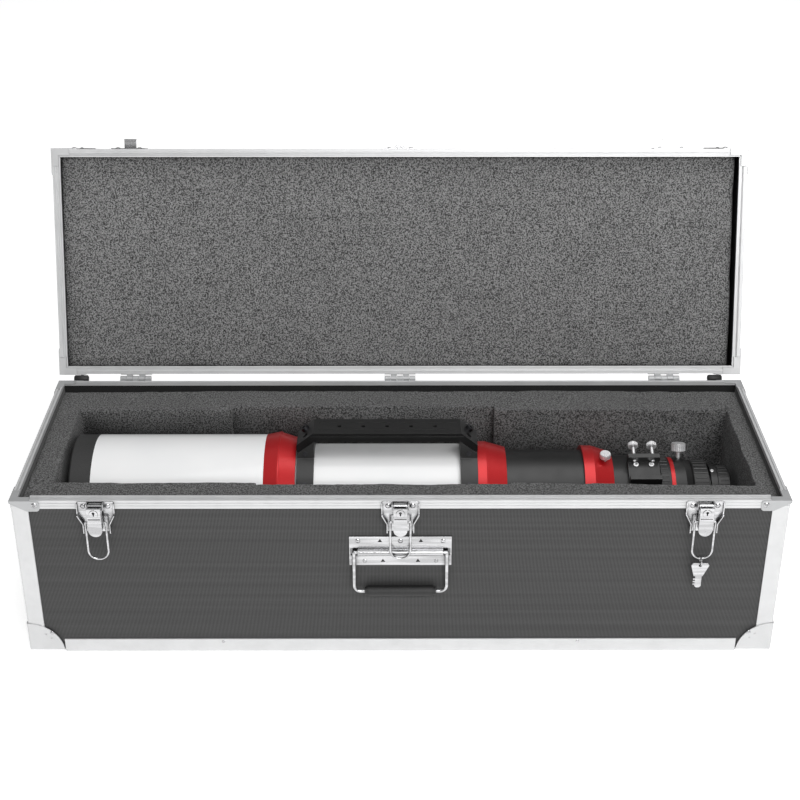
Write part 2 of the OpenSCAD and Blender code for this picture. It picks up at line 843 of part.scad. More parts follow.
module base_rivets() {
    handle_rivet_z = 14;
    upper_rivet_x = 50;
    lower_rivet_x = 42;
    upper_rivet_r = 3;
    lower_rivet_r = 2.4;
    angle_rivet = [215, 14.5, 2];      // X, height and radius of the two rivets in the front angle
    color(chrome) {
        half_fasteners(base_h);
        both_ends() translate([-angle_rivet[0], face_y, angle_rivet[1]]) rotate([90, 0, 0])
            rivet_head(angle_rivet[2]);
        for (i = [-1:1]) at_latch(i) both_ends()
            translate([-latch_rivet_x, face_y - sheet_t, latch_top - latch_rivet_drop]) rotate([90, 0, 0])
                rivet_head(latch_rivet_r);
        for (i = [-1:1]) translate([i * upper_rivet_x, panel_face_y - angle_t, handle_z + handle_rivet_z])
            rotate([90, 0, 0]) rivet_head(upper_rivet_r);
        both_ends() translate([-lower_rivet_x, panel_face_y - angle_t, handle_z - handle_rivet_z])
            rotate([90, 0, 0]) rivet_head(lower_rivet_r);
        at_hinges() leaf_rivets();
    }
}

module lid_rivets() {
    color(chrome) {
        as_lid() half_fasteners(lid_h);
        on_lid() {
            for (i = [-1:1]) at_latch(i) both_ends()
                translate([-latch_rivet_x, face_y - sheet_t, keeper_z0 + latch_rivet_drop]) rotate([90, 0, 0])
                    rivet_head(latch_rivet_r);
            above_hinge_line() at_hinges() leaf_rivets();
        }
    }
}

// ---------------------------------------------------------------- lid half

module lid_top_panel() {
    color(panel_grey) as_lid() floor_panel();
}

module lid_long_panels() {
    color(panel_grey) as_lid() long_panels(lid_h);
}

module lid_end_panels() {
    color(panel_grey) as_lid() end_panels(lid_h);
}

module lid_edge_angles() {
    color(alu) as_lid() edge_angles(lid_h);
}

module lid_corner_caps() {
    color(alu) as_lid() corner_caps();
}

module lid_rim_rails() {
    color(alu) as_lid() rim_rails(lid_h, true);
}

module lid_rim_braces() {
    color(steel) as_lid() rim_braces(lid_h);
}

module lid_foam() {
    short_by = 6;             // the sheet stops short of the right end
    side_gap = 0.5;
    color(foam_grey) as_lid()
        box([side_gap - panel_in_x, side_gap - panel_in_y, floor_z1],
            [panel_in_x - short_by, panel_in_y - side_gap, lid_h - lid_foam_recess]);
}

// ---------------------------------------------------------------- telescope stations along X

cap_l = 27;
shield_x0 = scope_x0 + cap_l;
shield_x1 = shield_x0 + shield_l;
shield_t = 3;
front_collar_l = 38.4;
front_collar_x1 = shield_x1 + front_collar_l;
tube_x0 = -332;
tube_x1 = 103.3;
tube_t = 2.5;
ring_front_x = -116.5;
ring_rear_x = 84.5;
rear_collar_x0 = 95.2;
rear_collar_x1 = 131.2;
ext_x0 = 113.3;
ext_x1 = 235.3;
ext_t = 3;
cone_x0 = 226.8;
cone_x1 = 263.6;
body_x0 = cone_x1 + hair;
body_x1 = 333;
draw_x0 = 239;
draw_x1 = 348;
draw_r = 40.93;
draw_t = 3.4;
rotator_x0 = body_x1 + hair;
rotator_x1 = 362.7;
rotator_r = 50;
adapter_x1 = 411;
socket_r = 15.9;              // takes a 1.25 inch eyepiece barrel
socket_l = 25;

// Turned shape about the telescope's axis, from an outline of [x, radius] points
module lathe(points) {
    translate([0, 0, axis_z]) rotate([0, 90, 0]) rotate_extrude($fn = 96)
        polygon([for (p = points) [p[1], p[0]]]);
}

// Plain tube about the telescope's axis
module tube(x0, x1, r_out, r_in) {
    lathe([[x0, r_in], [x0, r_out], [x1, r_out], [x1, r_in]]);
}

// Frame turned about the telescope's axis, a degrees from upright towards the latches
module about_axis(a) {
    translate([0, 0, axis_z]) rotate([a, 0, 0]) children();
}

// Grip flutes round the telescope's axis: count grooves of radius r, centred at radius at_r
module flutes(x0, x1, at_r, r, count) {
    for (i = [0:count - 1]) about_axis(i * 360 / count) rod_x(x0, x1, 0, at_r, r);
}

// ---------------------------------------------------------------- telescope, front

module lens_cap() {
    wall = 2.4;
    floor_l = 3;
    chamfer = 2;
    skirt_r = shield_r - shield_t - fit;
    skirt_l = 15;
    floor_x = scope_x0 + floor_l;
    color(black) lathe([[scope_x0, 0], [scope_x0, shield_r - chamfer], [scope_x0 + chamfer, shield_r],
                        [shield_x0, shield_r], [shield_x0, skirt_r], [shield_x0 + skirt_l, skirt_r],
                        [shield_x0 + skirt_l, skirt_r - wall], [floor_x, skirt_r - wall], [floor_x, 0]]);
}

module dew_shield() {
    color(white) tube(shield_x0, shield_x1, shield_r, shield_r - shield_t);
}

// Red collar at the rear of the shield, which slides along the tube
module front_collar() {
    bore_r = tube_r + fit;
    crest_r = shield_r + 3.5;
    crest_x = shield_x1 + 17;
    crest_w = 1.5;
    crest_step = 1;
    end_r = shield_r - 4;
    inner_r = shield_r - shield_t;
    inner_l = 8;
    color(red) lathe([[shield_x1 - inner_l, bore_r], [shield_x1 - inner_l, inner_r],
                      [shield_x1, inner_r], [shield_x1, shield_r], [crest_x, crest_r],
                      [crest_x + crest_w, crest_r], [crest_x + crest_w, crest_r - crest_step],
                      [front_collar_x1, end_r], [front_collar_x1, bore_r]]);
}

cell_x0 = -358;
cell_x1 = -322;
cell_lip = 3;                 // the lips that hold the lenses in the cell
lens_r = 68.4;
lens_points = 8;              // points of a lens face from its middle to its rim

module objective_cell() {
    cell_r = 75;
    rear_r = aperture_r + 0.5;
    pocket_r = lens_r + fit;
    pocket_x0 = cell_x0 + cell_lip;
    pocket_x1 = tube_x0 - cell_lip;
    color(black) lathe([[cell_x0, aperture_r], [cell_x0, cell_r], [cell_x1, cell_r], [cell_x1, tube_r],
                        [tube_x0, tube_r], [tube_x0, rear_r], [pocket_x1, rear_r],
                        [pocket_x1, pocket_r], [pocket_x0, pocket_r], [pocket_x0, aperture_r]]);
}

// Points of a lens face from its rim to the axis (or back): vertex at x, bowed by sag at the rim
function face_point(x, sag, share) = [x + sag * share * share, lens_r * share];
function face_in(x, sag) = [for (i = [lens_points:-1:1]) face_point(x, sag, i / lens_points)];
function face_out(x, sag) = [for (i = [1:lens_points]) face_point(x, sag, i / lens_points)];

// One lens between two faces; a positive sag bows the rim to the right
module lens(x0, sag0, x1, sag1) {
    lathe(concat(face_in(x0, sag0), [[x0, 0], [x1, 0]], face_out(x1, sag1)));
}

// Three elements: a convex one, a concave one and a plano-convex one
module objective_lenses() {
    sag = 3.5;
    edge_gap = 0.2;
    front_t = 8.8;
    middle_t = 2.4;
    air_gap = 0.5;
    front_x = cell_x0 + cell_lip + edge_gap;
    middle_x = front_x + front_t + air_gap;
    rear_x = middle_x + middle_t + air_gap;
    color(glass) {
        lens(front_x, sag, front_x + front_t, -sag);
        lens(middle_x, -sag, middle_x + middle_t, sag);
        lens(rear_x, sag, tube_x0 - cell_lip - edge_gap, 0);
    }
}

module main_tube() {
    color(white) tube(tube_x0, tube_x1, tube_r, tube_r - tube_t);
}

// ---------------------------------------------------------------- tube rings and handle bar

bar_rise = 103.5;               // top of the handle bar above the axis
bar_t = 12;
bar_end_t = 9;                // the bar is thinner at its low ends
bar_half_y = 18;
bar_x0 = -127.2;
bar_x1 = 95.2;
bar_flat_x0 = -106.6;
bar_flat_x1 = 74.6;
bar_drop = 17;                // fall of the sloped ends
bar_hole_pitch = 29.4;
bar_hole_x = -16;
bar_hole_r = 2.5;
bar_bolt_y = 8;
// crown block of a ring, in half width and height above the axis
crown_half = 30;
crown_foot = 55;
crown_side = 66;
crown_chamfer = 6;
// sloped front face of the block, and the screw on it
crown_neck = crown_half - crown_chamfer;
crown_neck_z = crown_side + crown_chamfer;
crown_face_a = atan((crown_neck - bar_half_y) / (bar_rise - bar_t - crown_neck_z));
crown_screw_up = 5.5;

// Ring blank: outer shape less the tube
module ring_blank(x) {
    difference() {
        union() {
            rod_x(x - ring_w / 2, x + ring_w / 2, 0, axis_z, ring_r);
            children();
        }
        rod_x(x - ring_w, x + ring_w, 0, axis_z, tube_r);
    }
}

// Block on a ring's crown that carries the bar; slope is 1 where the bar falls to the left
module crown_block(x, slope) {
    x0 = x - ring_w / 2;
    x1 = x + ring_w / 2;
    low = bar_rise - bar_end_t - bar_drop;
    high = bar_rise - bar_t;
    left = slope > 0 ? low : high;
    right = slope > 0 ? high : low;
    translate([0, 0, axis_z]) intersection() {
        extrude_x(x0, x1) polygon([[-crown_half, crown_foot], [-crown_half, crown_side],
                                   [-crown_neck, crown_neck_z], [-bar_half_y, high], [bar_half_y, high],
                                   [crown_neck, crown_neck_z], [crown_half, crown_side],
                                   [crown_half, crown_foot]]);
        extrude_y(-case_d, case_d) polygon([[x0, 0], [x0, left], [x1, right], [x1, 0]]);
    }
}

module tube_rings_upper() {
    split = 0.5;
    color(black) intersection() {
        union() {
            ring_blank(ring_front_x) crown_block(ring_front_x, 1);
            ring_blank(ring_rear_x) crown_block(ring_rear_x, -1);
        }
        box([-case_w, -case_d, axis_z + split], [case_w, case_d, case_w]);
    }
}

module tube_rings_lower() {
    color(black) intersection() {
        for (x = [ring_front_x, ring_rear_x])
            ring_blank(x) box([x - ring_w / 2, -dovetail_top_half, axis_z - dovetail_drop],
                              [x + ring_w / 2, dovetail_top_half, axis_z - tube_r]);
        box([-case_w, -case_d, 0], [case_w, case_d, axis_z]);
    }
}

// Outline of the bar seen from the front
module bar_outline() {
    top = axis_z + bar_rise;
    polygon([[bar_x0, top - bar_drop], [bar_flat_x0, top], [bar_flat_x1, top], [bar_x1, top - bar_drop],
             [bar_x1, top - bar_drop - bar_end_t], [bar_flat_x1, top - bar_t],
             [bar_flat_x0, top - bar_t], [bar_x0, top - bar_drop - bar_end_t]]);
}

// Repeats a piece that stands on z = 0 on the middle of both sloped ends of the bar, at y
module on_bar_slopes(y) {
    middle_z = axis_z + bar_rise - bar_drop / 2;
    for (ends = [[bar_x0, bar_flat_x0], [bar_x1, bar_flat_x1]])
        translate([(ends[0] + ends[1]) / 2, y, middle_z])
            rotate([0, -atan(bar_drop / (ends[1] - ends[0])), 0]) children();
}

module handle_bar() {
    top = axis_z + bar_rise;
    groove_top = 3;           // groove along the front and rear edges, below the top
    groove_w = 2;
    groove_d = 1;
    groove_past = 3;
    line_y = 9;               // two fine lines along the top
    line_w = 0.8;
    line_d = 0.6;
    line_short = 6;
    eye_r = 3.6;
    bolt_r = 2.6;
    color(black) difference() {
        extrude_y(-bar_half_y, bar_half_y) bar_outline();
        for (i = [-2:2]) translate([bar_hole_x + i * bar_hole_pitch, 0, top - 2 * bar_t])
            cylinder(h = 3 * bar_t, r = bar_hole_r);
        for (s = [-1, 1]) translate([0, s * bar_half_y, top - groove_top - groove_w])
            box([bar_flat_x0 - groove_past, -groove_d, 0], [bar_flat_x1 + groove_past, groove_d, groove_w]);
        for (s = [-1, 1]) translate([0, s * line_y, top - line_d])
            box([bar_flat_x0 + line_short, -line_w / 2, 0], [bar_flat_x1 - line_short, line_w / 2, 1]);
        on_bar_slopes(-bar_bolt_y) cylinder(h = 3 * bar_t, r = eye_r, center = true);
        on_bar_slopes(bar_bolt_y) cylinder(h = 3 * bar_t, r = bolt_r, center = true);
    }
}

// Socket screw pointing along Z with its head standing on z = 0
module cap_screw(r, h, hex_r) {
    difference() {
        cylinder(h = h, r = r);
        translate([0, 0, h / 2]) cylinder(h = h, r = hex_r, $fn = 6);
    }
}

// Bolts that hold the bar, and the two clamp screws on each ring's front
module ring_screws() {
    bolt = [5, 4, 2.4];       // head radius, head height and socket radius
    clamp = [3, 1.2, 1.6];
    clamp_a = 46;
    color(steel) {
        on_bar_slopes(bar_bolt_y) cap_screw(bolt[0], bolt[1], bolt[2]);
        for (x = [ring_front_x, ring_rear_x]) {
            about_axis(clamp_a) translate([x, 0, ring_r]) cap_screw(clamp[0], clamp[1], clamp[2]);
            translate([x, -crown_neck, axis_z + crown_neck_z]) rotate([90 - crown_face_a, 0, 0])
                translate([0, crown_screw_up, 0]) cap_screw(clamp[0], clamp[1], clamp[2]);
        }
    }
}

dovetail_drop = 81;           // top of the dovetail plate below the axis
dovetail_top_half = 18;

module dovetail_plate() {
    x0 = -139.5;
    x1 = 107.5;
    half = 22;
    z0 = 34;
    edge_z = 39;
    top = axis_z - dovetail_drop;
    hole_in = 8;
    hole_r = 3.3;
    color(black) difference() {
        extrude_x(x0, x1) polygon([[-half, z0], [half, z0], [half, edge_z], [dovetail_top_half, top],
                                   [-dovetail_top_half, top], [-half, edge_z]]);
        for (x = [x0 + hole_in, x1 - hole_in]) translate([x, 0, 0]) cylinder(h = axis_z, r = hole_r);
    }
}

// ---------------------------------------------------------------- telescope, rear

module rear_collar() {
    crest_r = tube_r + 3;
    crest_l = 11;
    end_r = ext_r + 4;
    crest_x1 = rear_collar_x0 + crest_l;
    inner_r = ext_r - ext_t;
    color(red) lathe([[rear_collar_x0, tube_r], [rear_collar_x0, crest_r], [crest_x1, crest_r],
                      [rear_collar_x1, end_r], [rear_collar_x1, ext_r], [ext_x0, ext_r],
                      [ext_x0, inner_r], [tube_x1, inner_r], [tube_x1, tube_r]]);
}

module extension_tube() {
    color(black) tube(ext_x0, ext_x1, ext_r, ext_r - ext_t);
}

spigot_r = 49.93;
cone_bore_x = cone_x1 - 14;
cone_screw_x = 253.5;
cone_screw_a = 10;
cone_screw_r = 2;

module focuser_cone() {
    crest_r = ext_r + 5.6;
    crest_l = 13;
    end_r = 58;
    bore_r = spigot_r + fit;
    inner_r = 52;
    color(red) difference() {
        lathe([[cone_x0, ext_r], [cone_x0, crest_r], [cone_x0 + crest_l, crest_r], [cone_x1, end_r],
               [cone_x1, bore_r], [cone_bore_x, bore_r], [cone_bore_x, inner_r], [ext_x1, inner_r],
               [ext_x1, ext_r]]);
        about_axis(cone_screw_a) translate([cone_screw_x, 0, 0])
            cylinder(h = 2 * ext_r, r = cone_screw_r + fit);
    }
}

// Thumbscrew with its stem starting at z = 0: stem length and radius, head length and radius
module thumbscrew(stem_l, stem_r, head_l, head_r) {
    knurl_r = 0.7;
    knurl_out = 0.2;
    teeth = 20;
    step = 0.8;
    cylinder(h = stem_l + eps, r = stem_r);
    translate([0, 0, stem_l]) difference() {
        union() {
            cylinder(h = head_l - step, r = head_r);
            translate([0, 0, head_l - step]) cylinder(h = step, r = head_r - step);
        }
        for (i = [0:teeth - 1]) rotate([0, 0, i * 360 / teeth])
            translate([head_r + knurl_out, 0, -1]) cylinder(h = head_l + 2, r = knurl_r);
    }
}

module cone_thumbscrew() {
    start_r = spigot_r + 1.2;
    seat_r = 67;
    color(chrome) about_axis(cone_screw_a) translate([cone_screw_x, 0, start_r])
        thumbscrew(seat_r - start_r, cone_screw_r, 6, 6.8);
}

shaft_x = 293;                // drive shaft across the focuser, below its axis
shaft_drop = 56;
shaft_r = 3;
roller_r = 5;
knob_r = 14;
knob_in = 33.5;
knob_out = 44;
knob_flute_count = 24;
rail_half = 6;                // rail on the drawtube that the shaft's roller drives
rail_drop = shaft_drop - roller_r - hair;
rail_x0 = body_x0 + 2;
rail_x1 = body_x1 - 2;

// Focuser body with its drive housing, bored for the drawtube and the drive shaft
module focuser_body() {
    spigot_x0 = cone_bore_x + 3;
    bore_r = draw_r + fit;
    lock_x = 323;             // fluted lock ring behind a neck
    lock_r = 52.5;
    neck_r = 50;
    neck_x = lock_x - 2;
    house_half = 20;
    house_half_l = 18;
    house_drop = 64;
    house_top = 44;
    slot_half = rail_half + hair;
    roller_half = rail_half + 2;
    flute_r = 1.1;
    flute_out = 0.4;
    color(black) difference() {
        union() {
            lathe([[spigot_x0, bore_r], [spigot_x0, spigot_r], [body_x0, spigot_r], [body_x0, focuser_r],
                   [neck_x, focuser_r], [neck_x, neck_r], [lock_x, neck_r], [lock_x, lock_r],
                   [body_x1, lock_r], [body_x1, bore_r]]);
            about_axis(shoe_angle) difference() {
                box([shaft_x - house_half_l, -house_half, -house_drop],
                    [shaft_x + house_half_l, house_half, -house_top]);
                rod_x(0, case_w, 0, 0, neck_r - 1);
            }
        }
        about_axis(shoe_angle) {
            // slot for the drawtube's drive rail, room for the roller, and the shaft's hole
            box([rail_x0 - 1, -slot_half, -rail_drop - hair], [body_x1 + 1, slot_half, 2 - draw_r]);
            rod_y(-roller_half, roller_half, shaft_x, -shaft_drop, roller_r + 0.5);
            rod_y(-case_d, case_d, shaft_x, -shaft_drop, shaft_r + fit);
        }
        flutes(lock_x - eps, body_x1 + 1, lock_r + flute_out, flute_r, 48);
    }
}

shoe_x0 = 281.6;                // finder shoe, in the frame turned by its lean
shoe_x1 = 320.6;
shoe_half = 19;
jaw_t = 6;
shoe_floor = 60;
shoe_top = 70;
shoe_screw_in = 8;
shoe_screw_z = 64;
shoe_screw_r = 2;

// Finder shoe: a channel along the tube, open at both ends
module finder_shoe() {
    foot_z = 46;
    undercut = 1.5;
    undercut_z = 56;
    color(black) about_axis(shoe_angle) difference() {
        box([shoe_x0, -shoe_half, foot_z], [shoe_x1, shoe_half, shoe_top]);
        rod_x(0, case_w, 0, 0, focuser_r);
        box([0, jaw_t - shoe_half, shoe_floor], [case_w, shoe_half - jaw_t, case_d]);
        for (x = [shoe_x0 + shoe_screw_in, shoe_x1 - shoe_screw_in])
            rod_y(0, case_d, x, shoe_screw_z, shoe_screw_r + fit);
        box([0, -case_d, 0], [case_w, undercut - shoe_half, undercut_z]);
    }
}

// The shoe's two thumbscrews through its rear jaw, and the two screws that hold it down
module shoe_screws() {
    stem_l = jaw_t + 15;
    floor_screw_y = 9;
    floor_screw_in = 10;
    color(chrome) about_axis(shoe_angle) {
        for (x = [shoe_x0 + shoe_screw_in, shoe_x1 - shoe_screw_in])
            translate([x, shoe_half - jaw_t - 1, shoe_screw_z]) rotate([-90, 0, 0])
                thumbscrew(stem_l, shoe_screw_r, 5.2, 6.2);
        for (x = [shoe_x0 + floor_screw_in, shoe_x1 - floor_screw_in])
            translate([x, floor_screw_y, shoe_floor]) cap_screw(3.2, 1.4, 1.6);
    }
}

// Sliding drawtube with the rail that the drive shaft turns against
module drawtube() {
    rail_root = draw_r - 1;
    color(black) {
        tube(draw_x0, draw_x1, draw_r, draw_r - draw_t);
        about_axis(shoe_angle) difference() {
            box([rail_x0, -rail_half, -rail_drop], [rail_x1, rail_half, rail_half - draw_r]);
            rod_x(0, case_w, 0, 0, rail_root);
        }
    }
}

// Drive shaft with its roller and the two coarse knobs
module focus_knobs() {
    color(black) about_shaft() difference() {
        union() {
            rod_y(-knob_in, knob_in, 0, 0, shaft_r);
            rod_y(-rail_half, rail_half, 0, 0, roller_r);
            rod_y(knob_in - eps, knob_out, 0, 0, knob_r);
            rod_y(-knob_out, eps - knob_in, 0, 0, knob_r);
        }
        knob_flutes(knob_r, 1.2);
    }
}

// Frame with its origin on the drive shaft's middle and Y along the shaft
module about_shaft() {
    about_axis(shoe_angle) translate([shaft_x, 0, -shaft_drop]) children();
}

// Grooves of radius r round a knob of radius at_r
module knob_flutes(at_r, r) {
    for (i = [1:knob_flute_count]) rotate([0, i * 360 / knob_flute_count, 0])
        rod_y(-case_d, case_d, 0, at_r + 0.4 * r, r);
}

// Reduction knob on the end of the coarse one
module fine_knob() {
    fine_r = 9;
    fine_l = 7.5;
    color(red) about_shaft() difference() {
        rod_y(knob_out + hair, knob_out + fine_l, 0, 0, fine_r);
        knob_flutes(fine_r, 0.8);
    }
}

rotator_groove_x = 336;
rotator_groove_w = 5;
rotator_groove_r = rotator_r - 3;
rotator_screw_x = 350;
rotator_screw_a = -20;
rotator_screw_r = 2.5;
adapter_neck_r = 36;

// Rotating part on the drawtube's end, with the groove for its red ring
module rotator_body() {
    taper_x = rotator_x1 - 8;
    end_r = rotator_r - 3.5;
    groove_x1 = rotator_groove_x + rotator_groove_w;
    seat_x = draw_x1 + hair;
    bore_r = draw_r + fit;
    color(black) difference() {
        lathe([[rotator_x0, bore_r], [rotator_x0, rotator_r], [rotator_groove_x, rotator_r],
               [rotator_groove_x, rotator_groove_r], [groove_x1, rotator_groove_r], [groove_x1, rotator_r],
               [taper_x, rotator_r], [rotator_x1, end_r], [rotator_x1, adapter_neck_r],
               [seat_x, adapter_neck_r], [seat_x, bore_r]]);
        about_axis(rotator_screw_a) translate([rotator_screw_x, 0, 0])
            cylinder(h = 2 * rotator_r, r = rotator_screw_r + fit);
    }
}

module rotator_ring() {
    proud = 0.6;
    x1 = rotator_groove_x + rotator_groove_w;
    color(red) tube(rotator_groove_x, x1, rotator_r + proud, rotator_groove_r);
}

module rotator_thumbscrew() {
    start_r = draw_r + 2;
    seat_r = 60;
    color(chrome) about_axis(rotator_screw_a) translate([rotator_screw_x, 0, start_r])
        thumbscrew(seat_r - start_r, rotator_screw_r, 9.5, 9);
}

// Clamp ring and adapter that takes the eyepiece barrel
module eyepiece_adapter() {
    neck_x0 = 354;
    clamp_x0 = 365;           // fluted clamp ring
    clamp_x1 = 383;
    clamp_r = 47;
    plain_x0 = 387;           // plain ring
    plain_x1 = 395;
    plain_r = 42;
    end_x0 = 396;             // fluted end
    end_r = 40;
    gap_r = 37;
    bevel = 1;
    inner_r = socket_r + 6;
    socket_x0 = adapter_x1 - socket_l;
    flute_count = 40;
    clamp_flute_r = 1.4;
    end_flute_r = 1.1;
    color(black) difference() {
        lathe([[neck_x0, inner_r], [neck_x0, adapter_neck_r], [rotator_x1, adapter_neck_r],
               [rotator_x1, clamp_r - 2 * bevel], [clamp_x0, clamp_r], [clamp_x1, clamp_r],
               [clamp_x1, gap_r], [plain_x0, gap_r], [plain_x0, plain_r], [plain_x1, plain_r],
               [plain_x1, gap_r], [end_x0, gap_r], [end_x0, end_r], [adapter_x1 - bevel, end_r],
               [adapter_x1, end_r - bevel], [adapter_x1, socket_r], [socket_x0, socket_r],
               [socket_x0, inner_r]]);
        flutes(clamp_x0 + bevel, clamp_x1 - bevel, clamp_r + clamp_flute_r / 2, clamp_flute_r, flute_count);
        flutes(end_x0 + 2 * bevel, adapter_x1 - 2 * bevel, end_r + end_flute_r / 2, end_flute_r, flute_count);
    }
}

// ---------------------------------------------------------------- assembly

bottom_panel();
base_long_panels();
base_end_panels();
base_edge_angles();
base_corner_caps();
base_rim_rails();
base_rim_braces();
base_rivets();
base_liner();
foam_floor();
foam_tray();
hinge_base_leaves();
latch_plates();
handle_plate();
lid_top_panel();
lid_long_panels();
lid_end_panels();
lid_edge_angles();
lid_corner_caps();
lid_rim_rails();
lid_rim_braces();
lid_foam();
hinge_lid_leaves();
latch_keepers();
lid_rivets();
latch_lever_left();
latch_lever_middle();
latch_lever_right();
latch_bail_left();
latch_bail_middle();
latch_bail_right();
handle_bail();
handle_grip();
key();
key_ring();
lens_cap();
dew_shield();
front_collar();
objective_cell();
objective_lenses();
main_tube();
tube_rings_upper();
tube_rings_lower();
ring_screws();
handle_bar();
dovetail_plate();
rear_collar();
extension_tube();
focuser_cone();
cone_thumbscrew();
focuser_body();
finder_shoe();
shoe_screws();
drawtube();
focus_knobs();
fine_knob();
rotator_body();
rotator_ring();
rotator_thumbscrew();
eyepiece_adapter();
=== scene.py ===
import json
import math

import bmesh
import bpy
from mathutils import Matrix, Vector, noise


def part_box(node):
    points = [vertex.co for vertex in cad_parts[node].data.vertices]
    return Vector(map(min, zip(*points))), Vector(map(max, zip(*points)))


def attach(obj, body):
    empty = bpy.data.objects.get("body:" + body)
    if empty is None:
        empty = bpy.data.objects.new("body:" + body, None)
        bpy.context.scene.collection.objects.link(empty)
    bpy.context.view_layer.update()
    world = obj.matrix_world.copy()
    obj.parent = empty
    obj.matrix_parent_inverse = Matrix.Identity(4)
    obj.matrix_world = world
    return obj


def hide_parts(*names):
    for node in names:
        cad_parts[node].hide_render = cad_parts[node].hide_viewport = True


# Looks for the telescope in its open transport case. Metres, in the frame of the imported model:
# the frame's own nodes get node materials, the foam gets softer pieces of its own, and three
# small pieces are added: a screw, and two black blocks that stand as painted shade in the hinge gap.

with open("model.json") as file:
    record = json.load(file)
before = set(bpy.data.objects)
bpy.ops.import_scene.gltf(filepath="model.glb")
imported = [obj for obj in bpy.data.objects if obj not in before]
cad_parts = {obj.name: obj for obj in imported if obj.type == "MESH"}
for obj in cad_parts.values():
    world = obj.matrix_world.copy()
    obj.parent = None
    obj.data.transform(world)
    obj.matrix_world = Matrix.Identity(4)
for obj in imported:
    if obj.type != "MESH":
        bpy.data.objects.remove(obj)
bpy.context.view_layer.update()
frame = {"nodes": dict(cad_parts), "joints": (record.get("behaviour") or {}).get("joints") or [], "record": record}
nodes = frame["nodes"]
joints = {j["name"]: j for j in frame["joints"]}
MM = 0.001


# ---------------------------------------------------------------- materials

# The Mix node's sockets for colours, among those it has for every type of data
MIX_COLOUR_INPUTS = (0, 6, 7)
MIX_COLOUR_OUTPUT = 2
BEVEL_SAMPLES = 4
OCCLUSION_SAMPLES = 6


def grey(value):
    return (value, value, value)


class Look:
    """A node material, with short calls for the nodes that the looks below are made of."""

    def __init__(self, name, colour, roughness, metallic=0.0, **sockets):
        self.mat = bpy.data.materials.new(name)
        self.mat.use_nodes = True
        self.tree = self.mat.node_tree
        self.shader = self.tree.nodes["Principled BSDF"]
        self.set("Base Color", (*colour, 1.0))
        self.set("Roughness", roughness)
        self.set("Metallic", metallic)
        for socket, value in sockets.items():
            self.set(socket.replace("_", " "), value)
        self.place = self.add("ShaderNodeTexCoord").outputs["Object"]

    def set(self, socket, value):
        self.shader.inputs[socket].default_value = value

    def add(self, kind, **settings):
        node = self.tree.nodes.new(kind)
        for name, value in settings.items():
            setattr(node, name, value)
        return node

    def link(self, out, target):
        self.tree.links.new(out, target)

    def to_shader(self, out, socket):
        self.link(out, self.shader.inputs[socket])

    def stretched(self, scale):
        """Object coordinates, scaled along each axis."""
        mapping = self.add("ShaderNodeMapping")
        mapping.inputs["Scale"].default_value = scale
        self.link(self.place, mapping.inputs["Vector"])
        return mapping.outputs["Vector"]

    def noise(self, scale, detail=3.0, rough=0.5, stretch=None):
        """Noise of about `scale` lumps per metre; stretch squeezes it along each axis."""
        tex = self.add("ShaderNodeTexNoise")
        tex.inputs["Scale"].default_value = scale
        tex.inputs["Detail"].default_value = detail
        tex.inputs["Roughness"].default_value = rough
        self.link(self.stretched(stretch) if stretch else self.place, tex.inputs["Vector"])
        return tex.outputs["Fac"]

    def ramp(self, fac, low, high, at=(0.3, 0.7)):
        """Greys or colours from low to high as fac goes from at[0] to at[1]."""
        ramp = self.add("ShaderNodeValToRGB")
        for element, value, position in zip(ramp.color_ramp.elements, (low, high), at):
            element.color = (*(value if isinstance(value, tuple) else grey(value)), 1.0)
            element.position = position
        self.link(fac, ramp.inputs["Fac"])
        return ramp.outputs["Color"]

    def maths(self, operation, a, b=None):
        """One sum on numbers or sockets."""
        node = self.add("ShaderNodeMath", operation=operation)
        for socket, value in zip(node.inputs, (a, b)):
            if isinstance(value, (int, float)):
                socket.default_value = value
            elif value is not None:
                self.link(value, socket)
        return node.outputs[0]

    def blend(self, fac, a, b, kind="MIX"):
        """Colour a blended with colour b, both sockets; fac is a number or a socket."""
        node = self.add("ShaderNodeMix", data_type="RGBA", blend_type=kind)
        fac_in, a_in, b_in = (node.inputs[i] for i in MIX_COLOUR_INPUTS)
        if isinstance(fac, (int, float)):
            fac_in.default_value = fac
        else:
            self.link(fac, fac_in)
        self.link(a, a_in)
        self.link(b, b_in)
        return node.outputs[MIX_COLOUR_OUTPUT]

    def times(self, a, b):
        """Product of two colours."""
        return self.blend(1.0, a, b, "MULTIPLY")

    def painted_corner_shade(self, reach, darkest, at):
        """Grey of painted shade that falls to darkest in corners, where surfaces within reach hide the light."""
        node = self.add("ShaderNodeAmbientOcclusion", samples=OCCLUSION_SAMPLES)
        node.inputs["Distance"].default_value = reach
        return self.ramp(node.outputs["AO"], darkest, 1.0, at)

    def bump(self, height, depth, strength=1.0):
        """Adds relief `depth` metres deep, under any relief added before it."""
        node = self.add("ShaderNodeBump")
        node.inputs["Strength"].default_value = strength
        node.inputs["Distance"].default_value = depth
        self.link(height, node.inputs["Height"])
        before = self.shader.inputs["Normal"].links
        if before:
            self.link(before[0].from_socket, node.inputs["Normal"])
        self.to_shader(node.outputs["Normal"], "Normal")

    def soft_edges(self, radius):
        """Rounds sharp edges as light sees them."""
        node = self.add("ShaderNodeBevel", samples=BEVEL_SAMPLES)
        node.inputs["Radius"].default_value = radius
        self.to_shader(node.outputs["Normal"], "Normal")


def scaled(colour, by):
    return tuple(c * by for c in colour)


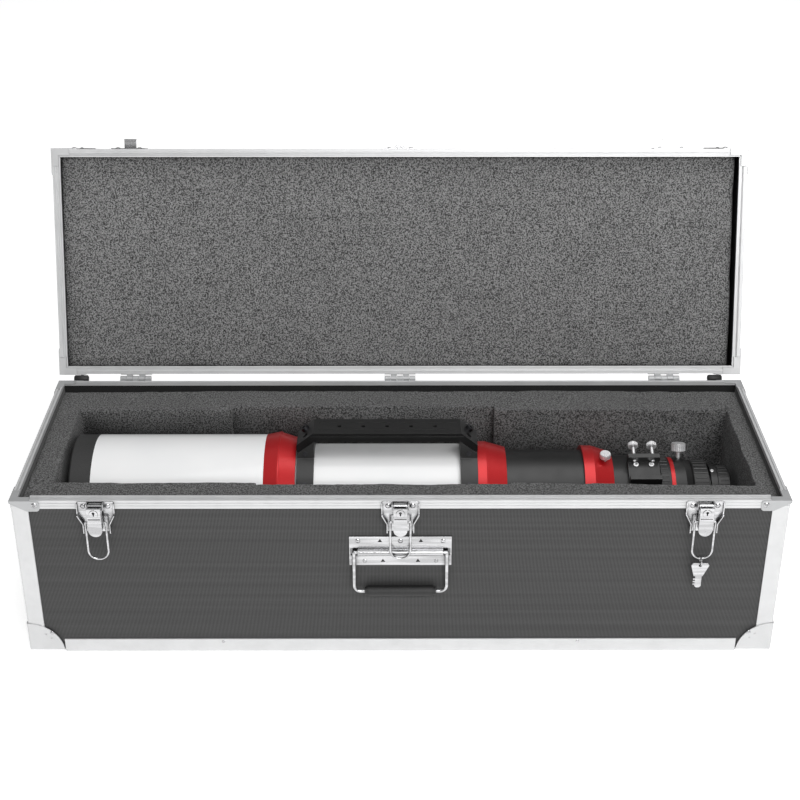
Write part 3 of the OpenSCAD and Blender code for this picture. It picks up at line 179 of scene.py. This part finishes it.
def panel_look():
    """Embossed laminate: two crossing sets of fine threads, painted lighter where they lie on top and darker in
    the hollows, as painted light and shade of the weave.
    """
    look = Look("panel_laminate", grey(0.075), 0.62, Specular_IOR_Level=0.35)
    thread_pitch = 3.3 * MM
    split = look.add("ShaderNodeSeparateXYZ")
    look.link(look.place, split.inputs[0])
    across = look.maths("ADD", split.outputs["X"], split.outputs["Y"])
    up = split.outputs["Z"]
    turn = math.tau / thread_pitch
    one, two = (look.maths("SINE", look.maths("MULTIPLY", look.maths(way, across, up), turn))
                for way in ("ADD", "SUBTRACT"))
    weave = look.maths("ADD", look.maths("MULTIPLY", look.maths("MULTIPLY", one, two), 0.5), 0.5)
    bands = look.noise(1.0, 2.0, 0.5, stretch=(1.2, 1.2, 210.0))
    # Painted light and shade: the colour follows the weave's height, near black in its hollows and lighter on its
    # raised threads.
    cloth = look.ramp(weave, 0.008, 0.085, (0.15, 0.85))
    tone = look.ramp(bands, 0.93, 1.07, (0.35, 0.65))
    look.to_shader(look.times(cloth, tone), "Base Color")
    look.bump(weave, 0.25 * MM, 0.6)
    look.to_shader(look.ramp(weave, 0.72, 0.5), "Roughness")
    return look.mat


def satin_metal(name, colour, roughness, along, edge=0.35 * MM, metallic=1.0):
    """Drawn metal: fine streaks along one axis (0 for X to 2 for Z), with faint smears."""
    wear = 0.06
    look = Look(name, colour, roughness, metallic)
    look.soft_edges(edge)
    squeeze = [6.0 if axis == along else 900.0 for axis in range(3)]
    streaks = look.noise(1.0, 3.0, 0.6, stretch=squeeze)
    smears = look.noise(38.0, 4.0, 0.6)
    mixed = look.maths("ADD", look.maths("MULTIPLY", streaks, 0.6),
                       look.maths("MULTIPLY", smears, 0.4))
    look.to_shader(look.ramp(mixed, roughness - wear, roughness + wear, (0.35, 0.65)), "Roughness")
    look.to_shader(look.ramp(smears, scaled(colour, 0.93), colour, (0.3, 0.6)), "Base Color")
    look.bump(streaks, 0.02 * MM, 0.35)
    return look.mat


def plated_metal(name, colour, roughness, dark=0.72, metallic=1.0):
    """Bright plating over a pressed part: long soft undulations, painted reflection streaks in its colour, and
    painted shade in its corners.
    """
    look = Look(name, colour, roughness, metallic)
    look.soft_edges(0.3 * MM)
    undulation_and_reflection = look.noise(1.0, 2.0, 0.5, stretch=(14.0, 14.0, 200.0))
    pits = look.noise(1800.0, 2.0)
    look.to_shader(look.ramp(pits, roughness * 0.7, roughness * 1.5), "Roughness")
    # Painted reflection: the colour is streaked darker and lighter along the undulations.
    tone = look.ramp(undulation_and_reflection, scaled(colour, dark), colour, (0.4, 0.6))
    # Painted shade: the colour darkens in corners, where nearby surfaces hide the light.
    painted_shade = look.painted_corner_shade(7 * MM, 0.03, (0.35, 0.85))
    look.to_shader(look.times(tone, painted_shade), "Base Color")
    look.bump(undulation_and_reflection, 0.25 * MM, 0.5)
    return look.mat


def anodised(name, colour, roughness):
    """Anodised aluminium: an even satin finish with a fine grain under a thin gloss."""
    look = Look(name, colour, roughness, 0.5, Coat_Weight=0.3, Coat_Roughness=0.2)
    look.soft_edges(0.4 * MM)
    grain = look.noise(2600.0, 2.0)
    clouds = look.noise(30.0, 2.0)
    fleck = 0.1
    lighter = tuple(c * (1 + fleck) + 0.002 for c in colour)
    look.to_shader(look.ramp(grain, scaled(colour, 1 - fleck), lighter), "Base Color")
    look.to_shader(look.ramp(clouds, roughness - 0.02, roughness + 0.03), "Roughness")
    look.bump(grain, 0.015 * MM, 0.3)
    return look.mat


def black_satin():
    """Black anodised parts of the telescope: fine grain, worn a little lighter in patches."""
    look = Look("black_satin", grey(0.011), 0.38, 0.0, Specular_IOR_Level=0.5)
    look.soft_edges(0.45 * MM)
    grain = look.noise(3000.0, 2.0)
    patches = look.noise(45.0, 4.0, 0.6)
    speckle = look.ramp(grain, 0.007, 0.016)
    worn = look.ramp(patches, 0.008, 0.014)
    look.to_shader(look.blend(0.5, speckle, worn), "Base Color")
    look.to_shader(look.ramp(patches, 0.3, 0.42), "Roughness")
    look.bump(grain, 0.02 * MM, 0.5)
    return look.mat


def moulded_black(name, tone, roughness, grain_scale):
    """Moulded black plastic with a leathery grain."""
    look = Look(name, grey(tone), roughness, 0.0)
    look.soft_edges(0.5 * MM)
    grain = look.noise(grain_scale, 3.0, 0.6)
    look.to_shader(look.ramp(grain, tone * 0.7, tone * 1.4), "Base Color")
    look.to_shader(look.ramp(grain, roughness + 0.08, roughness - 0.06), "Roughness")
    look.bump(grain, 0.06 * MM, 0.5)
    return look.mat


def white_paint():
    """Gloss white paint with a trace of orange peel under a clear coat."""
    look = Look("white_gloss", grey(0.88), 0.32, 0.0, Coat_Weight=0.5, Coat_Roughness=0.08)
    peel = look.noise(420.0, 2.0)
    tint = look.noise(14.0, 3.0)
    look.to_shader(look.ramp(tint, (0.86, 0.865, 0.87), grey(0.90)), "Base Color")
    look.to_shader(look.ramp(peel, 0.28, 0.36), "Roughness")
    look.bump(peel, 0.02 * MM, 0.25)
    return look.mat


def foam_look(name, tone, contrast, wall_tone=None):
    """Open-cell foam: dark pores and light struts of a few millimetres, bolder on its cut walls, which also get a
    painted lift of light; painted shade darkens it in deep pockets.
    """
    look = Look(name, grey(tone), 0.95, 0.0,
                Specular_IOR_Level=0.12, Sheen_Weight=0.1, Sheen_Roughness=0.6)
    pores = look.noise(560.0, 2.0, 0.6)
    fine = look.noise(1000.0, 2.0, 0.6)
    clouds = look.noise(24.0, 3.0, 0.5)

    def speckled(middle, spread):
        """Dark pores and light struts round a middle tone."""
        dark, light = max(middle * (1 - spread), 0.004), middle * (1 + spread)
        coarse = look.ramp(pores, dark, light, (0.42, 0.58))
        return look.blend(0.3, coarse, look.ramp(fine, dark, light, (0.40, 0.60)))

    speck = speckled(tone, contrast)
    # Cut walls: a coarser speckle, and a tone painted a little lighter than the top's, as painted light.
    if wall_tone:
        wall_contrast = 0.95
        facing = look.add("ShaderNodeTexCoord").outputs["Normal"]
        split = look.add("ShaderNodeSeparateXYZ")
        look.link(facing, split.inputs[0])
        upward = look.ramp(split.outputs["Z"], 0.0, 1.0, (0.35, 0.75))
        speck = look.blend(upward, speckled(wall_tone, wall_contrast), speck)
    cloud = look.ramp(clouds, 0.94, 1.05)
    # Painted shade: the colour falls towards black where nearby foam and parts hide the light, as in the pocket by
    # the lens cap.
    painted_shade = look.painted_corner_shade(70 * MM, 0.06, (0.2, 0.5))
    look.to_shader(look.times(look.times(speck, cloud), painted_shade), "Base Color")
    look.bump(pores, 0.8 * MM, 0.8)
    return look.mat


def lining_look():
    """Thin black lining cloth."""
    look = Look("liner_fabric", grey(0.012), 0.8, 0.0, Sheen_Weight=0.2, Specular_IOR_Level=0.2)
    fibres = look.noise(900.0, 3.0)
    look.to_shader(look.ramp(fibres, 0.007, 0.02), "Base Color")
    look.bump(fibres, 0.2 * MM, 0.6)
    return look.mat


def lens_look():
    """Coated glass, with a green sheen that varies a little."""
    look = Look("lens_glass", (0.72, 0.88, 0.84), 0.02, 0.0,
                Transmission_Weight=0.92, IOR=1.52, Coat_Weight=0.4)
    smudge = look.noise(60.0, 3.0)
    look.to_shader(look.ramp(smudge, 0.01, 0.05), "Roughness")
    look.to_shader(look.ramp(smudge, (0.68, 0.86, 0.82), (0.76, 0.90, 0.86)), "Base Color")
    return look.mat


def floor_look():
    """Pale studio floor, which glows a little so that it stays white around the case."""
    look = Look("studio_floor", grey(0.9), 0.7, 0.0, Specular_IOR_Level=0.2,
                Emission_Color=(1.0, 1.0, 1.0, 1.0), Emission_Strength=0.6)
    mottle = look.noise(6.0, 3.0)
    look.to_shader(look.ramp(mottle, 0.895, 0.905), "Base Color")
    return look.mat


ALONG_X, ALONG_Z = 0, 2
looks = {
    "panel_laminate": panel_look(),
    "frame_aluminium": satin_metal("frame_aluminium", (0.64, 0.643, 0.647), 0.42, ALONG_X,
                                   metallic=0.35),
    "cap_steel": satin_metal("cap_steel", (0.60, 0.603, 0.607), 0.38, ALONG_Z,
                             edge=0.6 * MM, metallic=0.4),
    "brace_steel": satin_metal("brace_steel", (0.44, 0.445, 0.45), 0.42, ALONG_X, metallic=0.4),
    "nickel": plated_metal("nickel", (0.60, 0.60, 0.61), 0.2),
    "key_steel": plated_metal("key_steel", (0.60, 0.60, 0.61), 0.3),
    "grip_plastic": moulded_black("grip_plastic", 0.012, 0.5, 900.0),
    "liner_fabric": lining_look(),
    # The base foam's wall tone is painted light, a little lighter than its top.
    "foam_base": foam_look("foam_base", 0.098, 0.85, wall_tone=0.108),
    "foam_lid": foam_look("foam_lid", 0.148, 0.95),
    "black_satin": black_satin(),
    "cap_plastic": moulded_black("cap_plastic", 0.024, 0.5, 1500.0),
    "white_gloss": white_paint(),
    "red_anodised": anodised("red_anodised", (0.52, 0.007, 0.010), 0.36),
    "screw_steel": satin_metal("screw_steel", (0.06, 0.06, 0.065), 0.4, ALONG_Z),
    "thumbscrew_nickel": plated_metal("thumbscrew_nickel", (0.88, 0.88, 0.89), 0.3,
                                      dark=0.85, metallic=0.5),
    "lens_glass": lens_look(),
}

for part in frame["record"]["subparts"]:
    mesh = nodes[part["node"]].data
    mesh.materials.clear()
    mesh.materials.append(looks[part["material_slot"]])


# ---------------------------------------------------------------- mesh helpers

# Blender's noise starts from a random state, so the foam would differ from run to run without this
NOISE_SEED = 11
noise.seed_set(NOISE_SEED)


def steps(stops, pitch):
    """Coordinates through all the stops, no further apart than about pitch."""
    stops = sorted(set(round(s, 6) for s in stops))
    out = [stops[0]]
    for low, high in zip(stops, stops[1:]):
        count = max(1, round((high - low) / pitch))
        out += [low + (high - low) * i / count for i in range(1, count + 1)]
    return out


def block_mesh(xs, ys, zs, filled):
    """Closed mesh of quads round the cells of a grid for which filled(x, y, z) is true."""
    nx, ny, nz = len(xs) - 1, len(ys) - 1, len(zs) - 1

    def solid(i, j, k):
        if not (0 <= i < nx and 0 <= j < ny and 0 <= k < nz):
            return False
        return filled((xs[i] + xs[i + 1]) / 2, (ys[j] + ys[j + 1]) / 2, (zs[k] + zs[k + 1]) / 2)

    state = {(i, j, k): solid(i, j, k)
             for i in range(-1, nx + 1) for j in range(-1, ny + 1) for k in range(-1, nz + 1)}
    corners = {
        (1, 0, 0): ((1, 0, 0), (1, 1, 0), (1, 1, 1), (1, 0, 1)),
        (-1, 0, 0): ((0, 0, 0), (0, 0, 1), (0, 1, 1), (0, 1, 0)),
        (0, 1, 0): ((0, 1, 0), (0, 1, 1), (1, 1, 1), (1, 1, 0)),
        (0, -1, 0): ((0, 0, 0), (1, 0, 0), (1, 0, 1), (0, 0, 1)),
        (0, 0, 1): ((0, 0, 1), (1, 0, 1), (1, 1, 1), (0, 1, 1)),
        (0, 0, -1): ((0, 0, 0), (0, 1, 0), (1, 1, 0), (1, 0, 0)),
    }
    mesh = bmesh.new()
    made = {}

    def vertex(i, j, k):
        if (i, j, k) not in made:
            made[i, j, k] = mesh.verts.new((xs[i], ys[j], zs[k]))
        return made[i, j, k]

    for (i, j, k), is_solid in state.items():
        if is_solid:
            for (di, dj, dk), quad in corners.items():
                if not state.get((i + di, j + dj, k + dk), False):
                    mesh.faces.new([vertex(i + a, j + b, k + c) for a, b, c in quad])
    return mesh


def plain_block(low, high, across, up):
    """Closed block from corner low to corner high, in cells of about across by across by up."""
    return block_mesh(steps([low.x, high.x], across), steps([low.y, high.y], across),
                      steps([low.z, high.z], up), lambda x, y, z: True)


def round_off(mesh, radius, keep=lambda edge: True):
    """Rounds the sharp edges of a block for which keep(edge) is true."""
    sharp_from = math.radians(40)
    mesh.normal_update()
    sharp = [e for e in mesh.edges
             if e.is_manifold and e.calc_face_angle() > sharp_from and keep(e)]
    bmesh.ops.bevel(mesh, geom=sharp, offset=radius, segments=3, profile=0.5, affect="EDGES",
                    clamp_overlap=True)


def roughen(mesh, amount, size, inside, seed):
    """Moves vertices by up to amount in lumps of about size; inside(vertex) keeps them in place."""
    for vertex in mesh.verts:
        place = vertex.co / size + Vector((seed, 2 * seed, 3 * seed))
        vertex.co += amount * noise.noise_vector(place)
        inside(vertex)


def keep_in(low, high):
    """Holds vertices inside a box."""
    def clamp(vertex):
        for axis in range(3):
            vertex.co[axis] = min(max(vertex.co[axis], low[axis]), high[axis])
    return clamp


def merge(mesh, other):
    """Moves everything in another mesh into this one."""
    data = bpy.data.meshes.new("merged")
    other.to_mesh(data)
    other.free()
    mesh.from_mesh(data)
    bpy.data.meshes.remove(data)


def new_object(name, mesh, material):
    """Smooth-shaded object from a mesh, which is freed."""
    data = bpy.data.meshes.new(name)
    mesh.to_mesh(data)
    mesh.free()
    for polygon in data.polygons:
        polygon.use_smooth = True
    data.materials.append(material)
    made = bpy.data.objects.new(name, data)
    bpy.context.scene.collection.objects.link(made)
    return made


def trim_piece(name, mesh, body, slot):
    piece = new_object(name, mesh, looks[slot])
    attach(piece, body)
    return piece


def foam_piece(name, mesh, body, slot, *replaced):
    piece = trim_piece(name, mesh, body, slot)
    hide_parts(*replaced)


# ---------------------------------------------------------------- foam

def share(value, start, end):
    """How far value has gone from start to end, between 0 and 1."""
    return min(max((value - start) / (end - start), 0.0), 1.0)


def cut_out_runs():
    """The X and the Y of the tray's cut-out walls, read off the CAD tray."""
    tray = nodes["foam_tray"].data
    low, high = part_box("foam_tray")
    xs, ys = set(), set()
    for vertex in tray.vertices:
        x, y = round(vertex.co.x, 5), round(vertex.co.y, 5)
        if low.x + MM < x < high.x - MM and low.y + MM < y < high.y - MM:
            xs.add(x)
            ys.add(y)
    return sorted(xs), sorted(ys)


def hand_cut(mesh, low, high, cut_ys):
    """Thins the front wall towards the right, and pulls the block back from the lining behind."""
    front, rear = cut_ys[0], cut_ys[-1]
    thins_from, thinned = 130 * MM, 9 * MM
    gap, more_at_corners, corners_from = 2.0 * MM, 3.5 * MM, 0.6
    for vertex in mesh.verts:
        x, y = vertex.co.x, vertex.co.y
        if y < 0:
            vertex.co.y -= thinned * share(x, thins_from, high.x) * share(y, low.y, front)
        else:
            corner = share(abs(x) / high.x, corners_from, 1.0)
            vertex.co.y -= (gap + more_at_corners * corner) * share(y, rear, high.y)


def covered(triangles, x, y):
    """True where a triangle covers the point (x, y), as seen from above."""
    for a, b, c in triangles:
        sides = [(x - q.x) * (p.y - q.y) - (p.x - q.x) * (y - q.y)
                 for p, q in ((a, b), (b, c), (c, a))]
        if min(sides) >= 0 or max(sides) <= 0:
            return True
    return False


def tray_mesh():
    """Foam block with the cut-out that the telescope lies in."""
    low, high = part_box("foam_tray")
    cut_xs, cut_ys = cut_out_runs()
    tray = nodes["foam_tray"].data
    top_faces = [corners for corners in ([tray.vertices[i].co for i in p.vertices]
                                         for p in tray.polygons if abs(p.normal.z) > 0.9)
                 if corners[0].z > (low.z + high.z) / 2]
    triangles = [(f[0], f[i], f[i + 1]) for f in top_faces for i in range(1, len(f) - 1)]
    known = {}

    def filled(x, y, z):
        if (x, y) not in known:
            known[x, y] = covered(triangles, x, y)
        return known[x, y]

    cell = 7 * MM
    mesh = block_mesh(steps([low.x, high.x, *cut_xs], cell), steps([low.y, high.y, *cut_ys], cell),
                      steps([low.z, high.z], 9 * MM), filled)
    round_off(mesh, 2.2 * MM, keep=lambda e: min(v.co.z for v in e.verts) > low.z + MM)
    hand_cut(mesh, low, high, cut_ys)
    inside = keep_in(low, high)
    left_wall, wall_reach, most_inwards = cut_xs[0], 3 * MM, 0.4 * MM

    def clear_of_cap(vertex):
        """Also holds the left wall back from the lens cap at the end of the dew shield's slide."""
        inside(vertex)
        if 0.0 < vertex.co.x - left_wall < wall_reach:
            vertex.co.x = left_wall + most_inwards

    roughen(mesh, 1.3 * MM, 34 * MM, clear_of_cap, 1.7)
    roughen(mesh, 0.7 * MM, 11 * MM, clear_of_cap, 5.1)
    return mesh


def prism(mesh, xs, outline):
    """Adds a closed prism along X to a mesh; its cross-section is the loop of (y, z) points."""
    rings = [[mesh.verts.new((x, y, z)) for y, z in outline] for x in xs]
    count = len(outline)
    faces = [mesh.faces.new(rings[0]), mesh.faces.new(reversed(rings[-1]))]
    for one, two in zip(rings, rings[1:]):
        for i in range(count):
            j = (i + 1) % count
            faces.append(mesh.faces.new((one[i], two[i], two[j], one[j])))
    bmesh.ops.recalc_face_normals(mesh, faces=faces)


def floor_mesh():
    """Foam floor under the cut-out, with the two pairs of wedges that the telescope lies in."""
    low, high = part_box("foam_floor")
    slab_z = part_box("foam_tray")[0].z
    slab_high = Vector((high.x, high.y, slab_z))
    mesh = plain_block(low, slab_high, 14 * MM, 9 * MM)
    round_off(mesh, 1.5 * MM)
    roughen(mesh, 1.0 * MM, 30 * MM, keep_in(low, slab_high), 3.3)
    tops = [v.co for v in nodes["foam_floor"].data.vertices if v.co.z > slab_z + MM]
    sunk_by, slope_cells = 2 * MM, 6
    sunk = slab_z - sunk_by
    for pair, seed in (([v for v in tops if v.x < 0], 4.1), ([v for v in tops if v.x > 0], 5.1)):
        x0, x1 = min(v.x for v in pair), max(v.x for v in pair)
        outer = max(v.y for v in pair)
        top = max(v.z for v in pair)
        foot = outer - (top - slab_z)
        for side in (-1, 1):
            wedge = bmesh.new()
            slope = [(side * (outer + (foot - outer) * i / slope_cells),
                      top + (slab_z - top) * i / slope_cells) for i in range(slope_cells + 1)]
            prism(wedge, steps([x0, x1], 10 * MM),
                  [(side * outer, sunk), *slope, (side * foot, sunk)])
            round_off(wedge, 1.2 * MM,
                      keep=lambda e: max(v.co.z for v in e.verts) > slab_z + sunk_by)
            inside = keep_in(Vector((x0, min(side * outer, side * foot), sunk)),
                             Vector((x1, max(side * outer, side * foot), top)))
            roughen(wedge, 0.6 * MM, 12 * MM, inside, seed)
            merge(mesh, wedge)
    return mesh


def lid_closing():
    """Turn that takes pieces of the lid from the open rest pose to the closed one."""
    hinge = joints["lid_hinge"]
    pin = Matrix.Translation(hinge["pos_m"])
    swing = Matrix.Rotation(math.radians(hinge["range_deg"][0]), 4, Vector(hinge["axis"]))
    return pin @ swing @ pin.inverted()


def lid_sheet_mesh():
    """Foam sheet in the lid, shaped with the lid closed and then swung open."""
    closing = lid_closing()
    corners = [closing @ v.co for v in nodes["lid_foam"].data.vertices]
    low = Vector([min(c[axis] for c in corners) for axis in range(3)])
    high = Vector([max(c[axis] for c in corners) for axis in range(3)])
    mesh = plain_block(low, high, 8 * MM, 10 * MM)
    round_off(mesh, 2.5 * MM)
    roughen(mesh, 1.6 * MM, 45 * MM, keep_in(low, high), 6.2)
    roughen(mesh, 0.8 * MM, 12 * MM, keep_in(low, high), 8.4)
    mesh.transform(closing.inverted())
    return mesh


foam_piece("foam_tray_cut", tray_mesh(), "case_base", "foam_base", "foam_tray")
foam_piece("foam_floor_cut", floor_mesh(), "case_base", "foam_base", "foam_floor")
foam_piece("foam_lid_sheet", lid_sheet_mesh(), "lid", "foam_lid", "lid_foam")


# ---------------------------------------------------------------- small trim and painted shade blocks

def turned(profile, segments=28):
    """Closed shape turned about Z; the (radius, z) profile starts and ends on the axis."""
    mesh = bmesh.new()
    rings = []
    for radius, z in profile:
        count = segments if radius > 0.0 else 1
        rings.append([mesh.verts.new((radius * math.cos(math.tau * i / segments),
                                      radius * math.sin(math.tau * i / segments), z))
                      for i in range(count)])
    for one, two in zip(rings, rings[1:]):
        for i in range(segments):
            j = (i + 1) % segments
            corners = [one[i % len(one)], one[j % len(one)], two[j % len(two)], two[i % len(two)]]
            mesh.faces.new(list(dict.fromkeys(corners)))
    bmesh.ops.recalc_face_normals(mesh, faces=mesh.faces)
    return mesh


def adapter_screw():
    """Small domed screw on top of the adapter's plain ring."""
    low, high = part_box("eyepiece_adapter")
    ring_r, from_end, leans = 42 * MM, 22 * MM, math.radians(8)
    sunk, head_r, dome_r, socket_r = 1.5 * MM, 2.6 * MM, 2.2 * MM, 1.0 * MM
    mesh = turned([(0.0, -sunk), (head_r, -sunk), (head_r, 0.8 * MM), (dome_r, 1.5 * MM),
                   (1.3 * MM, 2.0 * MM), (socket_r, 1.3 * MM), (0.0, 1.3 * MM)])
    middle = (low + high) / 2
    tilt = Matrix.Rotation(leans, 4, "X")
    mesh.transform(Matrix.Translation((high.x - from_end, middle.y, middle.z)) @ tilt
                   @ Matrix.Translation((0.0, 0.0, ring_r)))
    trim_piece("adapter_screw", mesh, "rotator", "thumbscrew_nickel")


def rear_shade_block(name, middle_x):
    """Black block on the base's rear edge, as painted shade in the gap between base and lid: a bar round the line
    that the lid swings about.
    """
    pin = Vector(joints["lid_hinge"]["pos_m"])
    radius, half, soft = 4.5 * MM, 9.5 * MM, 1.4 * MM
    foot_half, foot_depth, foot_high, foot_low = half - 2 * soft, 5 * MM, -1 * MM, -4 * MM
    mesh = turned([(0.0, -half), (radius - soft, -half), (radius, soft - half),
                   (radius, half - soft), (radius - soft, half), (0.0, half)])
    mesh.transform(Matrix.Rotation(math.radians(90), 4, "Y"))
    foot = block_mesh(steps([-foot_half, foot_half], 4 * MM), steps([-foot_depth, 0.0], 3 * MM),
                      steps([foot_low, foot_high], 3 * MM), lambda x, y, z: True)
    merge(mesh, foot)
    mesh.transform(Matrix.Translation((middle_x, pin.y, pin.z)))
    trim_piece(name, mesh, "case_base", "grip_plastic")


adapter_screw()
# Two black blocks of painted shade in the hinge gap, near the rear corners.
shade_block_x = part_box("base_rim_rails")[1].x - 28 * MM
right_block_inwards = 5 * MM
rear_shade_block("rear_stop_left", -shade_block_x)
rear_shade_block("rear_stop_right", shade_block_x - right_block_inwards)


# ---------------------------------------------------------------- camera, floor and light

FOCAL_MM = 67.34
SENSOR_MM = 36.0
CAMERA_AT = (-0.00297, -1.6013, 1.1457)
CAMERA_TILT_DEG = 61.28
CAMERA_TURN_DEG = -0.098

camera = bpy.data.objects.new("camera", bpy.data.cameras.new("camera"))
camera.data.lens = FOCAL_MM
camera.data.sensor_width = SENSOR_MM
camera.location = CAMERA_AT
camera.rotation_euler = (math.radians(CAMERA_TILT_DEG), 0.0, math.radians(CAMERA_TURN_DEG))
bpy.context.scene.collection.objects.link(camera)
bpy.context.scene.camera = camera


def studio_floor():
    half_side, cells = 14.0, 8
    mesh = bmesh.new()
    bmesh.ops.create_grid(mesh, x_segments=cells, y_segments=cells, size=half_side)
    floor = new_object("studio_floor", mesh, floor_look())


def softbox(name, place, size, power):
    """Rectangular light, aimed at the middle of the case."""
    aim = (0.0, 0.0, 0.2)
    light = bpy.data.lights.new(name, "AREA")
    light.shape = "RECTANGLE"
    light.size, light.size_y = size
    light.energy = power
    lamp = bpy.data.objects.new(name, light)
    lamp.location = place
    lamp.rotation_euler = (Vector(aim) - Vector(place)).to_track_quat("-Z", "Y").to_euler()
    bpy.context.scene.collection.objects.link(lamp)


def surround():
    """A bright studio room with darker side walls, as metal and gloss paint see it."""
    strength, side_tone, side_from, side_to = 0.46, 0.12, 0.45, 0.85
    world = bpy.data.worlds.new("studio")
    bpy.context.scene.world = world
    world.use_nodes = True
    tree = world.node_tree
    back = tree.nodes["Background"]
    back.inputs["Strength"].default_value = strength
    coord = tree.nodes.new("ShaderNodeTexCoord")
    split = tree.nodes.new("ShaderNodeSeparateXYZ")
    sideways = tree.nodes.new("ShaderNodeMath")
    sideways.operation = "ABSOLUTE"
    ramp = tree.nodes.new("ShaderNodeValToRGB")
    ends = ((side_from, 1.0), (side_to, side_tone))
    for element, (position, tone) in zip(ramp.color_ramp.elements, ends):
        element.position = position
        element.color = (*grey(tone), 1.0)
    tree.links.new(coord.outputs["Generated"], split.inputs[0])
    tree.links.new(split.outputs["X"], sideways.inputs[0])
    tree.links.new(sideways.outputs[0], ramp.inputs["Fac"])
    tree.links.new(ramp.outputs["Color"], back.inputs["Color"])


studio_floor()
surround()
softbox("key", (0.8, -2.4, 1.8), (1.8, 1.0), 44)
softbox("top", (0.3, -0.1, 2.6), (2.2, 1.4), 22)
bpy.context.scene.view_settings.view_transform = "Standard"
